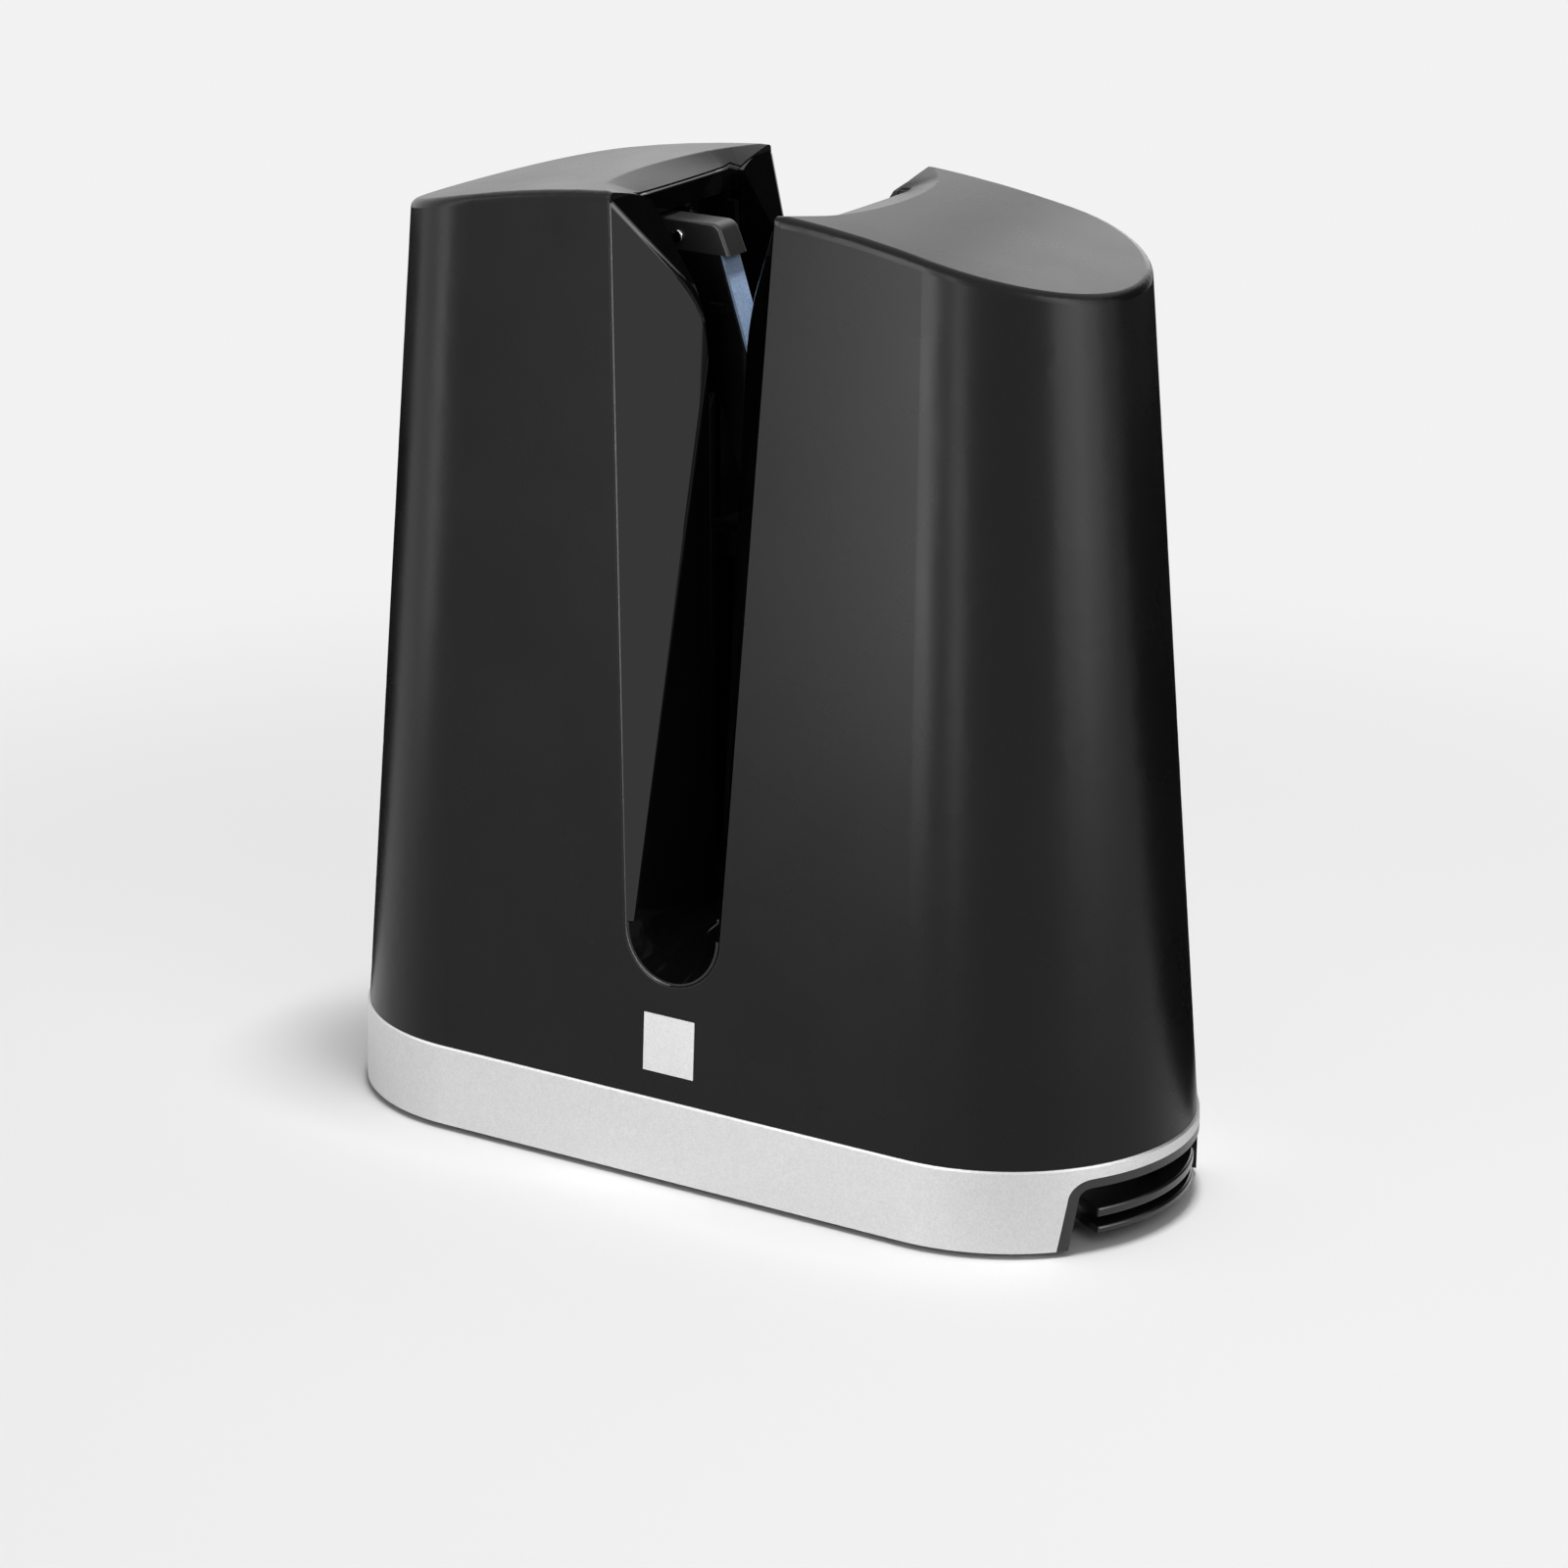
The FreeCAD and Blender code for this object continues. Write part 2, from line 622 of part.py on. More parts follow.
def make_shaft_liner():
    """Box-shaped shaft with its floor, top plate and glossy rim."""
    x = SHAFT_HALF_X + LINER_WALL
    y = SHAFT_HALF_Y + LINER_WALL
    floor_z = THROAT_LOW_Z
    liner = box(-x, x, -y, y, floor_z - LINER_WALL, LINER_TOP_Z)
    liner = liner.cut(box(-SHAFT_HALF_X, SHAFT_HALF_X, -SHAFT_HALF_Y, SHAFT_HALF_Y,
                          floor_z, LINER_TOP_Z - LINER_WALL))
    rim_x = RIM_HALF_X + RIM_WALL
    rim_y = RIM_HALF_Y + RIM_WALL
    rim = box(-rim_x, rim_x, -rim_y, rim_y, LINER_TOP_Z - LINER_WALL, OVER_Z)
    liner = liner.fuse(rim)
    for sx in (-1, 1):
        liner = liner.fuse(rod_z(ROD_BOSS_R, sx * ROD_X, -sx * ROD_Y, ROD_BOSS_LOW_Z, LINER_TOP_Z - 1))
    liner = liner.cut(box(-RIM_HALF_X, RIM_HALF_X, -RIM_HALF_Y, RIM_HALF_Y,
                          LINER_TOP_Z - 2 * LINER_WALL, OVER_Z))
    liner = liner.cut(dish(RIM_DROP))
    gap = slot_prism(-BODY_WIDTH, BODY_WIDTH, -SEAM)
    liner = liner.cut(gap.common(box(-60, 60, -60, 60, LINER_GAP_Z, OVER_Z)))
    liner = liner.cut(blade_gap(-BODY_WIDTH, BODY_WIDTH))
    lug_low = RACK_LUG_Z - TRAVEL - 1
    lug_high = RACK_LUG_Z + RACK_LUG + 1
    lug_y = RACK_WIDE / 2 + 0.8
    liner = liner.cut(box(SHAFT_HALF_X - 1, x + 1, -ROD_Y - lug_y, -ROD_Y + lug_y, lug_low, lug_high))
    for sx in (-1, 1):
        liner = liner.cut(rod_z(ROD_R + 0.02, sx * ROD_X, -sx * ROD_Y, floor_z - 1.4, LINER_TOP_Z - 0.6))

    def on_inner_rim(point):
        at_end = abs(abs(point.x) - RIM_HALF_X) < 0.02
        at_side = abs(abs(point.y) - RIM_HALF_Y) < 0.02
        return (at_end or at_side) and point.z > RIM_Z - 1.5

    return liner.makeFillet(RIM_EDGE_R, edges_where(liner, on_inner_rim))


def make_guide_rods():
    rods = []
    for sx in (-1, 1):
        rods.append(rod_z(ROD_R, sx * ROD_X, -sx * ROD_Y, THROAT_LOW_Z - 1.4, LINER_TOP_Z - 0.6))
    return Part.makeCompound(rods)


def arch_block(grow, x0, x1):
    """Arch of the cord recess between x0 and x1, widened by grow."""
    foot = ARCH_HALF_LOW + grow
    top = ARCH_TOP_Z + grow
    low = -1.0
    lean = ARCH_LEAN
    r = ARCH_CORNER_R + grow
    edges = []
    slope = math.atan(lean)
    side_x = foot - lean * (top - BAND_LOW_Z)
    back = r * math.tan((math.pi / 2 - slope) / 2)
    a = (foot + lean * (BAND_LOW_Z - low), low)
    b = (side_x + back * math.sin(slope), top - back * math.cos(slope))
    c = (side_x - back, top)
    centre = (c[0], top - r)
    mid_angle = (math.pi / 2 + slope) / 2
    mid = (centre[0] + r * math.cos(mid_angle), centre[1] + r * math.sin(mid_angle))
    right = [(a, b)]
    edges.append(Part.makeLine(V(x0, -a[0], a[1]), V(x0, a[0], a[1])))
    edges.append(Part.makeLine(V(x0, right[0][0][0], right[0][0][1]), V(x0, b[0], b[1])))
    edges.append(Part.Arc(V(x0, b[0], b[1]), V(x0, mid[0], mid[1]), V(x0, c[0], c[1])).toShape())
    edges.append(Part.makeLine(V(x0, c[0], c[1]), V(x0, -c[0], c[1])))
    edges.append(Part.Arc(V(x0, -c[0], c[1]), V(x0, -mid[0], mid[1]), V(x0, -b[0], b[1])).toShape())
    edges.append(Part.makeLine(V(x0, -b[0], b[1]), V(x0, -a[0], a[1])))
    return Part.Face(Part.Wire(edges)).extrude(V(x1 - x0, 0, 0))


def band_block(inset, z0, z1):
    """Tapered block of the band's plan."""
    wires = []
    for z in (z0, z1):
        share = (HOUSING_BASE_Z - z) / (HOUSING_BASE_Z - BAND_LOW_Z)
        r = end_radius(HOUSING_BASE_Z) + BAND_PROUD + BAND_FLARE * share - inset
        wires.append(stadium(END_CENTRE_X, r, z))
    return Part.makeLoft(wires, True, True)


def make_base_band():
    band = band_block(0, BAND_LOW_Z, HOUSING_BASE_Z - SEAM)
    top_edges = []
    for edge in band.Edges:
        if edge.BoundBox.ZMin > HOUSING_BASE_Z - 1:
            top_edges.append(edge)
    band = band.makeChamfer(0.45, top_edges)
    band = band.cut(band_block(BAND_WALL, BAND_LOW_Z - 1, HOUSING_BASE_Z + 1))
    return band.cut(arch_block(0, END_CENTRE_X, BODY_LENGTH))


def make_recess_bezel():
    """Dark frame that lines the arch."""
    ring = band_block(0.1, BAND_LOW_Z, HOUSING_BASE_Z - 1)
    inner = band_block(BEZEL_DEPTH, BAND_LOW_Z - 1, HOUSING_BASE_Z)
    bezel = arch_block(-SEAM, END_CENTRE_X, BODY_LENGTH).common(ring).cut(inner)
    return bezel.cut(arch_block(-BEZEL_WIDTH, END_CENTRE_X, BODY_LENGTH))


def sector(r0, r1, z0, z1, turn):
    """Part of a ring about the end centre, turn degrees to each side of +X."""
    ring = Part.makeCylinder(r1, z1 - z0, V(END_CENTRE_X, 0, z0), V(0, 0, 1), 2 * turn)
    ring.rotate(V(END_CENTRE_X, 0, 0), V(0, 0, 1), -turn)
    return ring.cut(rod_z(r0, END_CENTRE_X, 0, z0 - 1, z1 + 1))


def make_base_pan():
    """Tray that closes the underside and carries everything."""
    inset = BAND_WALL + SEAM
    pan = band_block(inset, BAND_LOW_Z, HOUSING_BASE_Z - 2)
    hollow = band_block(inset + PAN_WALL, PAN_FLOOR_Z, HOUSING_BASE_Z)
    pan = pan.cut(hollow)
    plan = band_block(inset, BAND_LOW_Z, HOUSING_BASE_Z - 2)
    keep = rod_z(FLANGE_ROOT_R, END_CENTRE_X, 0, -2, HOUSING_BASE_Z)
    tunnel = arch_block(PAN_WALL, END_CENTRE_X, BODY_LENGTH).common(plan).cut(keep)
    wall = sector(FLANGE_ROOT_R - PAN_WALL, FLANGE_ROOT_R, BAND_LOW_Z, HOUSING_BASE_Z - 2, RECESS_WALL_TURN)
    pan = pan.fuse([tunnel, wall])
    pan = pan.cut(arch_block(-SEAM, END_CENTRE_X, BODY_LENGTH).cut(keep))
    for sx in (-1, 1):
        for sy in (-1, 1):
            x = sx * BOSS_X
            y = sy * BOSS_Y
            pan = pan.fuse(rod_z(BOSS_R, x, y, BAND_LOW_Z, HOUSING_BASE_Z - SEAM))
            pan = pan.cut(rod_z(SCREW_R + 0.2, x, y, 0, HOUSING_BASE_Z + 1))
            pan = pan.cut(rod_z(SCREW_HEAD_R + 0.3, x, y, 0, PAN_FLOOR_Z + 4))
            pan = pan.cut(rod_z(FOOT_R, sx * FOOT_X, sy * FOOT_Y, 0, BAND_LOW_Z + FOOT_PLUG))
    return pan.cut(gland_tube(GLAND_R + 0.05, 4 * GLAND_LENGTH))


def gland_z():
    return (HIGH_FLANGE_Z + HIGH_FLANGE + ARCH_TOP_Z - BEZEL_WIDTH) / 2


def make_cord_winder():
    """Core and two flanges that a cord is wound round."""
    core_r = FLANGE_ROOT_R + SEAM
    winder = sector(core_r, core_r + CORE_WALL, LOW_FLANGE_Z, HIGH_FLANGE_Z + HIGH_FLANGE, CORE_TURN)
    low = sector(core_r, FLANGE_R, LOW_FLANGE_Z, LOW_FLANGE_Z + LOW_FLANGE, FLANGE_TURN)
    high = sector(core_r, FLANGE_R, HIGH_FLANGE_Z, HIGH_FLANGE_Z + HIGH_FLANGE, FLANGE_TURN)
    winder = winder.fuse([low, high]).removeSplitter()
    rim = []
    for edge in winder.Edges:
        middle = edge.valueAt((edge.FirstParameter + edge.LastParameter) / 2)
        if math.hypot(middle.x - END_CENTRE_X, middle.y) > FLANGE_R - 0.1:
            rim.append(edge)
    return winder.makeFillet(0.7, rim)


def gland_tube(r, length):
    """Cylinder through the inner wall of the recess, square to it."""
    turn = math.radians(GLAND_TURN)
    out = V(math.cos(turn), math.sin(turn), 0)
    middle = V(END_CENTRE_X, 0, gland_z()) + out * (FLANGE_ROOT_R - PAN_WALL / 2)
    return Part.makeCylinder(r, length, middle - out * (length / 2), out)


def make_inlet_gland():
    """Bush that a cord would enter through."""
    return gland_tube(GLAND_R, GLAND_LENGTH).cut(gland_tube(GLAND_BORE_R, 2 * GLAND_LENGTH))


def make_rubber_feet():
    feet = []
    for sx in (-1, 1):
        for sy in (-1, 1):
            feet.append(rod_z(FOOT_R - SEAM, sx * FOOT_X, sy * FOOT_Y, 0, BAND_LOW_Z + FOOT_PLUG))
    return Part.makeCompound(feet)


def make_housing_screws():
    screws = []
    head_z = PAN_FLOOR_Z + 4
    for sx in (-1, 1):
        for sy in (-1, 1):
            x = sx * BOSS_X
            y = sy * BOSS_Y
            screw = rod_z(SCREW_HEAD_R, x, y, head_z - SCREW_HEAD, head_z)
            screw = screw.fuse(rod_z(SCREW_R, x, y, head_z, BOSS_TOP_Z - 4))
            screw = screw.cut(rod_z(0.9, x, y, head_z - SCREW_HEAD - 1, head_z - 1))
            screws.append(screw)
    return Part.makeCompound(screws)


def along_stone(distance, depth):
    """Point at a distance down the left stone's face and a depth behind it."""
    x = STONE_TOP_X + distance * math.sin(STONE_ANGLE) - depth * math.cos(STONE_ANGLE)
    z = STONE_TOP_Z - distance * math.cos(STONE_ANGLE) - depth * math.sin(STONE_ANGLE)
    return (x, z)


def stone_y():
    """Front and back of the left stone."""
    front = HOLDER_FRONT_Y + HOLDER_CHEEK
    return front, front + STONE_WIDE


def make_left_stone():
    y0, y1 = stone_y()
    points = [
        along_stone(0, 0),
        along_stone(STONE_LENGTH, 0),
        along_stone(STONE_LENGTH, STONE_THICK),
        along_stone(0, STONE_THICK),
    ]
    top = CAP_LOW_Z - 0.05
    stone = prism_y(outline(points), y0, y1)
    return stone.cut(box(-60, 60, -60, 60, top, OVER_Z))


def holder_outline():
    low = STONE_LENGTH + 1.5
    back = STONE_THICK + HOLDER_THICK
    rest_x = CAP_LEFT_X + 2.5
    knee = along_stone(12, back)
    return [
        along_stone(low, 0.7),
        along_stone(low, back),
        knee,
        (rest_x, knee[1] + 3),
        (rest_x, CAP_LOW_Z),
        (STONE_TOP_X - 0.7 / math.cos(STONE_ANGLE), CAP_LOW_Z),
    ]


def make_left_holder():
    """Channel that holds the left stone."""
    y0, y1 = stone_y()
    holder = prism_y(outline(holder_outline()), HOLDER_FRONT_Y, HOLDER_BACK_Y)
    room = [
        along_stone(-20, -5),
        along_stone(STONE_LENGTH, -5),
        along_stone(STONE_LENGTH, STONE_THICK),
        along_stone(-20, STONE_THICK),
    ]
    holder = holder.cut(prism_y(outline(room), y0, y1))
    lug = box(LUG_RIGHT_X - LUG_WIDE, LUG_RIGHT_X, HOLDER_FRONT_Y - LUG_PROUD, HOLDER_FRONT_Y,
              LUG_TOP_Z - LUG_TALL, LUG_TOP_Z)
    holder = holder.fuse(lug)
    holder = holder.common(box(-60, 60, -60, 60, 0, CAP_LOW_Z))
    return holder.removeSplitter()


def make_left_cap():
    """Cap over the top of the left holder, rounded at its tip end."""
    top_z = CAP_LOW_Z + CAP_TALL
    crest_x = CAP_TIP_X - CAP_SLANT
    points = [
        (CAP_LEFT_X, CAP_LOW_Z),
        (CAP_TIP_X, CAP_LOW_Z),
        (crest_x, top_z),
        (CAP_LEFT_X + CAP_HEEL, top_z),
        (CAP_LEFT_X, top_z - CAP_HEEL),
    ]
    cap = prism_y(outline(points), HOLDER_FRONT_Y, HOLDER_BACK_Y)
    crest = edges_where(cap, lambda p: abs(p.x - crest_x) < 0.01 and abs(p.z - top_z) < 0.01)
    cap = cap.makeFillet(CAP_ROUND_R, crest)

    def on_rim(point):
        on_end = abs(point.y - HOLDER_FRONT_Y) < 0.01 or abs(point.y - HOLDER_BACK_Y) < 0.01
        return on_end and point.z > CAP_LOW_Z + 0.3 and point.x > CAP_LEFT_X + CAP_HEEL

    cap = cap.makeFillet(CAP_EDGE_R, edges_where(cap, on_rim))
    return cap.cut(rod_y(PIN_R + 0.02, PIN_X, PIN_Z, -60, 60))


def make_left_pin():
    """Chrome pivot pin, pressed in the cap and turning in the carriage."""
    pin = rod_y(PIN_R, PIN_X, PIN_Z, HOLDER_FRONT_Y - PIN_PROUD, PIN_TAIL)
    edges = []
    for edge in pin.Edges:
        if edge.BoundBox.YMax < HOLDER_FRONT_Y:
            edges.append(edge)
    return pin.makeFillet(0.45, edges)


def make_left_spring():
    """Torsion spring on the tail of the left pin."""
    y0 = POST_FRONT_Y + 0.1
    ring = rod_y(SPRING_R, PIN_X, PIN_Z, y0, y0 + SPRING_LENGTH)
    return ring.cut(rod_y(PIN_R + RUN_FIT, PIN_X, PIN_Z, -60, 60))


def make_carriage():
    """U-shaped carriage: two posts and the bridge below the stones."""
    out_x = SHAFT_HALF_X - CARRIAGE_SIDE_GAP
    y0 = POST_FRONT_Y
    y1 = HOLDER_FRONT_Y * -1
    left = box(-out_x, -POST_INNER_X, y0, y1, CARRIAGE_LOW_Z, POST_TOP_Z)
    left = left.cut(box(-out_x - 1, ROD_BOSS_R + 0.5 - ROD_X, y0 - 1, y1 + 1, POST_STEP_Z, OVER_Z))
    slope_y = y0 + SPRING_LENGTH
    slope = Part.Face(Part.makePolygon([
        V(-out_x - 1, slope_y, POST_TOP_Z), V(-out_x - 1, slope_y, OVER_Z),
        V(-out_x - 1, y1 + 1, OVER_Z), V(-out_x - 1, y1 + 1, POST_TOP_Z - POST_SLOPE * (y1 + 1 - slope_y)),
        V(-out_x - 1, slope_y, POST_TOP_Z)]))
    left = left.cut(slope.extrude(V(out_x, 0, 0)))
    left = left.cut(rod_y(SPRING_R + 0.3, PIN_X, PIN_Z, y0 - 1, y0 + SPRING_LENGTH + 0.2))
    left = left.cut(rod_y(PIN_R + RUN_FIT, PIN_X, PIN_Z, y0, PIN_TAIL + 0.2))
    bridge = box(-out_x, out_x, -y1, y1, CARRIAGE_LOW_Z, CARRIAGE_LOW_Z + BRIDGE)
    body = bridge.fuse([left, turned(left)])
    for sx in (-1, 1):
        x = sx * ROD_X
        y = -sx * ROD_Y
        body = body.cut(rod_z(ROD_R + 0.4, x, y, 0, OVER_Z))
        for z in bush_heights():
            body = body.cut(rod_z(bush_r(), x, y, z, z + ROD_BUSH))
    return body


def bush_r():
    return ROD_R + RUN_FIT + ROD_BUSH_WALL


def bush_heights():
    return (CARRIAGE_LOW_Z, POST_STEP_Z - ROD_BUSH)


def make_carriage_bushes():
    bushes = []
    for sx in (-1, 1):
        for z in bush_heights():
            bush = rod_z(bush_r() - 0.01, sx * ROD_X, -sx * ROD_Y, z, z + ROD_BUSH)
            bushes.append(bush.cut(rod_z(ROD_R + RUN_FIT, sx * ROD_X, -sx * ROD_Y, 0, OVER_Z)))
    return Part.makeCompound(bushes)


def make_drive_rack():
    """Toothed rack with the lug that joins it to the carriage."""
    pitch = math.pi * RACK_MODULE
    root_x = RACK_PITCH_X - TOOTH_FALL * RACK_MODULE
    tip_x = RACK_PITCH_X + TOOTH_RISE * RACK_MODULE
    half_tip = TOOTH_TIP_SHARE * pitch / 2
    half_root = 2 * TOOTH_SHARE * pitch / 2 - half_tip
    low_z = PINION_Z - pitch
    high_z = low_z + RACK_TEETH * pitch
    points = [(RACK_BACK_X, low_z), (root_x, low_z)]
    for index in range(RACK_TEETH):
        z = low_z + (index + 0.5) * pitch
        points += [(root_x, z - half_root), (tip_x, z - half_tip)]
        points += [(tip_x, z + half_tip), (root_x, z + half_root)]
    points += [(root_x, high_z), (RACK_BACK_X, high_z)]
    y0 = -ROD_Y - RACK_WIDE / 2
    y1 = -ROD_Y + RACK_WIDE / 2
    rack = prism_y(outline(points), y0, y1)
    inner_x = SHAFT_HALF_X - CARRIAGE_SIDE_GAP
    lug = box(inner_x, RACK_BACK_X, y0, y1, RACK_LUG_Z, RACK_LUG_Z + RACK_LUG)
    return rack.fuse(lug).removeSplitter()


def gear(module, teeth, x, z, y0, y1, phase, bore_r):
    """Spur gear about the Y axis, with one tooth centred at the angle phase."""
    pitch_r = module * teeth / 2
    tip_r = pitch_r + TOOTH_RISE * module
    root_r = pitch_r - TOOTH_FALL * module
    step = 2 * math.pi / teeth
    half_tip = TOOTH_TIP_SHARE * step / 2
    half_root = 2 * TOOTH_SHARE * step / 2 - half_tip
    points = []
    for index in range(teeth):
        centre = phase + index * step
        corners = ((root_r, -half_root), (tip_r, -half_tip), (tip_r, half_tip), (root_r, half_root))
        for radius, turn in corners:
            angle = centre + turn
            points.append((x + radius * math.cos(angle), z + radius * math.sin(angle)))
    blank = prism_y(outline(points), y0, y1)
    return blank.cut(rod_y(bore_r, x, z, y0 - 1, y1 + 1))


def rack_y():
    return -ROD_Y - RACK_WIDE / 2, -ROD_Y + RACK_WIDE / 2


def slow_y():
    """Front and back of the slow gears, in front of the shaft liner."""
    y0 = FRONT_PLATE_Y + PLATE + 1.0
    return y0, y0 + GEAR_WIDE


def fast_y():
    y0 = slow_y()[1] + 0.8
    return y0, y0 + GEAR_WIDE - 1


def make_rack_pinion():
    y0, y1 = rack_y()
    return gear(RACK_MODULE, RACK_PINION_TEETH, PINION_X, PINION_Z, y0 - 0.4, y1 + 0.4, math.pi, SHAFT_R)


def make_main_wheel():
    y0, y1 = slow_y()
    wheel = gear(MAIN_MODULE, MAIN_WHEEL_TEETH, PINION_X, PINION_Z, y0, y1, IDLER_TURN, SHAFT_R)
    for index in range(WHEEL_HOLES):
        angle = index * 2 * math.pi / WHEEL_HOLES
        x = PINION_X + WHEEL_HOLE_REACH * math.cos(angle)
        z = PINION_Z + WHEEL_HOLE_REACH * math.sin(angle)
        wheel = wheel.cut(rod_y(WHEEL_HOLE_R, x, z, y0 - 1, y1 + 1))
    return wheel


def make_drive_shaft():
    return rod_y(SHAFT_R, PINION_X, PINION_Z, FRONT_PLATE_Y - SHAFT_END, rack_y()[1] + 1.2)


def make_idler_pinion():
    y0, y1 = slow_y()
    phase = IDLER_TURN + math.pi + math.pi / IDLER_PINION_TEETH
    return gear(MAIN_MODULE, IDLER_PINION_TEETH, IDLER_X, IDLER_Z, y0, y1, phase, SHAFT_R)


def make_idler_wheel():
    y0, y1 = fast_y()
    return gear(FAST_MODULE, IDLER_WHEEL_TEETH, IDLER_X, IDLER_Z, y0, y1, MOTOR_TURN, SHAFT_R)


def make_idler_shaft():
    return rod_y(SHAFT_R, IDLER_X, IDLER_Z, FRONT_PLATE_Y - SHAFT_END, REAR_PLATE_Y + PLATE)


def make_motor_pinion():
    y0, y1 = fast_y()
    phase = MOTOR_TURN + math.pi + math.pi / MOTOR_PINION_TEETH
    return gear(FAST_MODULE, MOTOR_PINION_TEETH, MOTOR_X, MOTOR_Z, y0, y1, phase, MOTOR_SHAFT_R)


def make_motor_shaft():
    return rod_y(MOTOR_SHAFT_R, MOTOR_X, MOTOR_Z, fast_y()[0] - 0.4, REAR_PLATE_Y + PLATE + MOTOR_CAP)


def plate_right_x():
    """Right edge of the gear plates, held clear of the housing's rounded end."""
    r = end_radius(PINION_Z) - WALL
    return half_flat(PINION_Z) + math.sqrt(r * r - FRONT_PLATE_Y * FRONT_PLATE_Y) - PLATE_CLEAR


def plate_outline():
    """Plate that spans the drive, idler and motor shafts."""
    return [
        (PINION_X - PLATE_LEFT, PINION_Z + PLATE_ABOVE),
        (PINION_X - PLATE_LEFT, PINION_Z - PLATE_BELOW),
        (MOTOR_X - PLATE_SIDE, MOTOR_Z - PLATE_UNDER),
        (plate_right_x(), MOTOR_Z - PLATE_UNDER),
        (plate_right_x(), MOTOR_Z + PLATE_SHOULDER),
        (PINION_X + PLATE_TOP_REACH, PINION_Z + PLATE_ABOVE),
    ]


def spacer_places():
    return [
        (PINION_X + PLATE_TOP_REACH - SPACER_IN - 1, PINION_Z + PLATE_ABOVE - SPACER_IN - 1),
        (MOTOR_X - PLATE_SIDE + SPACER_IN, MOTOR_Z - PLATE_UNDER + SPACER_IN),
        (plate_right_x() - SPACER_IN, MOTOR_Z - PLATE_UNDER + SPACER_IN),
        (plate_right_x() - SPACER_IN, MOTOR_Z + PLATE_SHOULDER - SPACER_IN),
    ]


def bush_places():
    """Bushes as x, z and the plate's y."""
    places = []
    for x, z in ((PINION_X, PINION_Z), (IDLER_X, IDLER_Z)):
        for y in (FRONT_PLATE_Y, REAR_PLATE_Y):
            places.append((x, z, y))
    return places


def make_gear_plate_front():
    y0 = FRONT_PLATE_Y
    plate = prism_y(outline(plate_outline()), y0, y0 + PLATE)
    for x, z, y in bush_places():
        plate = plate.cut(rod_y(SHAFT_R + RUN_FIT + BUSH_WALL, x, z, y0 - 1, y0 + PLATE + 1))
    for x, z in spacer_places():
        plate = plate.cut(rod_y(SCREW_R, x, z, y0 - 1, y0 + PLATE + 1))
    return plate


def make_gear_plate_rear():
    """Chassis plate: it stands on the pan and carries the motor."""
    y0 = REAR_PLATE_Y
    y1 = y0 + PLATE
    plate = prism_y(outline(plate_outline()), y0, y1)
    foot_z = PAN_FLOOR_Z
    left = MOTOR_X - PLATE_SIDE
    leg = box(left, plate_right_x(), y0, y1, foot_z, MOTOR_Z - PLATE_UNDER + 1)
    flange = box(left, plate_right_x(), y0, y0 + PLATE_FOOT, foot_z, foot_z + PLATE)
    plate = plate.fuse([leg, flange]).removeSplitter()
    for x, z, y in bush_places():
        plate = plate.cut(rod_y(SHAFT_R + RUN_FIT + BUSH_WALL, x, z, y0 - 1, y1 + 1))
    plate = plate.cut(rod_y(MOTOR_BOSS_R + SEAM, MOTOR_X, MOTOR_Z, y0 - 1, y1 + 1))
    for x, z in spacer_places():
        plate = plate.cut(rod_y(SCREW_R, x, z, y0 - 1, y1 + 1))
    for x in (left + SPACER_IN, plate_right_x() - SPACER_IN):
        plate = plate.cut(rod_z(SCREW_R, x, y0 + PLATE_FOOT_SCREW, foot_z - 1, foot_z + PLATE + 1))
    for z in motor_screw_heights():
        plate = plate.cut(rod_y(SCREW_R, MOTOR_X, z, y0 - 1, y1 + 1))
    return plate


def motor_screw_heights():
    return MOTOR_Z - MOTOR_SCREW_REACH, MOTOR_Z + MOTOR_SCREW_REACH


def make_plate_spacers():
    spacers = []
    for x, z in spacer_places():
        tube = rod_y(SPACER_R, x, z, FRONT_PLATE_Y + PLATE, REAR_PLATE_Y)
        spacers.append(tube.cut(rod_y(SCREW_R, x, z, FRONT_PLATE_Y, REAR_PLATE_Y + 1)))
    return Part.makeCompound(spacers)


def make_plate_screws():
    screws = []
    for x, z in spacer_places():
        head = rod_y(SCREW_HEAD_R, x, z, FRONT_PLATE_Y - 1.8, FRONT_PLATE_Y)
        screws.append(head.fuse(rod_y(SCREW_R, x, z, FRONT_PLATE_Y, REAR_PLATE_Y + PLATE)))
    return Part.makeCompound(screws)


def make_shaft_bushes():
    bushes = []
    for x, z, y in bush_places():
        body = rod_y(SHAFT_R + RUN_FIT + BUSH_WALL, x, z, y, y + PLATE)
        bushes.append(body.cut(rod_y(SHAFT_R + RUN_FIT, x, z, y - 1, y + PLATE + 1)))
    return Part.makeCompound(bushes)


def make_motor_can():
    y0 = REAR_PLATE_Y + PLATE
    can = rod_y(MOTOR_R, MOTOR_X, MOTOR_Z, y0, y0 + MOTOR_LENGTH)
    can = can.fuse(rod_y(MOTOR_BOSS_R, MOTOR_X, MOTOR_Z, y0 - PLATE, y0))
    return can.cut(rod_y(MOTOR_SHAFT_R + RUN_FIT, MOTOR_X, MOTOR_Z, y0 - 5, y0 + MOTOR_CAP + 1))


def make_motor_end_cap():
    y0 = REAR_PLATE_Y + PLATE + MOTOR_LENGTH
    cap = rod_y(MOTOR_R - 1, MOTOR_X, MOTOR_Z, y0, y0 + MOTOR_CAP)
    y1 = y0 + MOTOR_CAP
    half = MOTOR_TAB / 2
    for sx in (-1, 1):
        x = MOTOR_X + sx * MOTOR_TAB_REACH
        cap = cap.fuse(box(x - half / 2, x + half / 2, y1, y1 + MOTOR_TAB, MOTOR_Z - half, MOTOR_Z + half))
    return cap


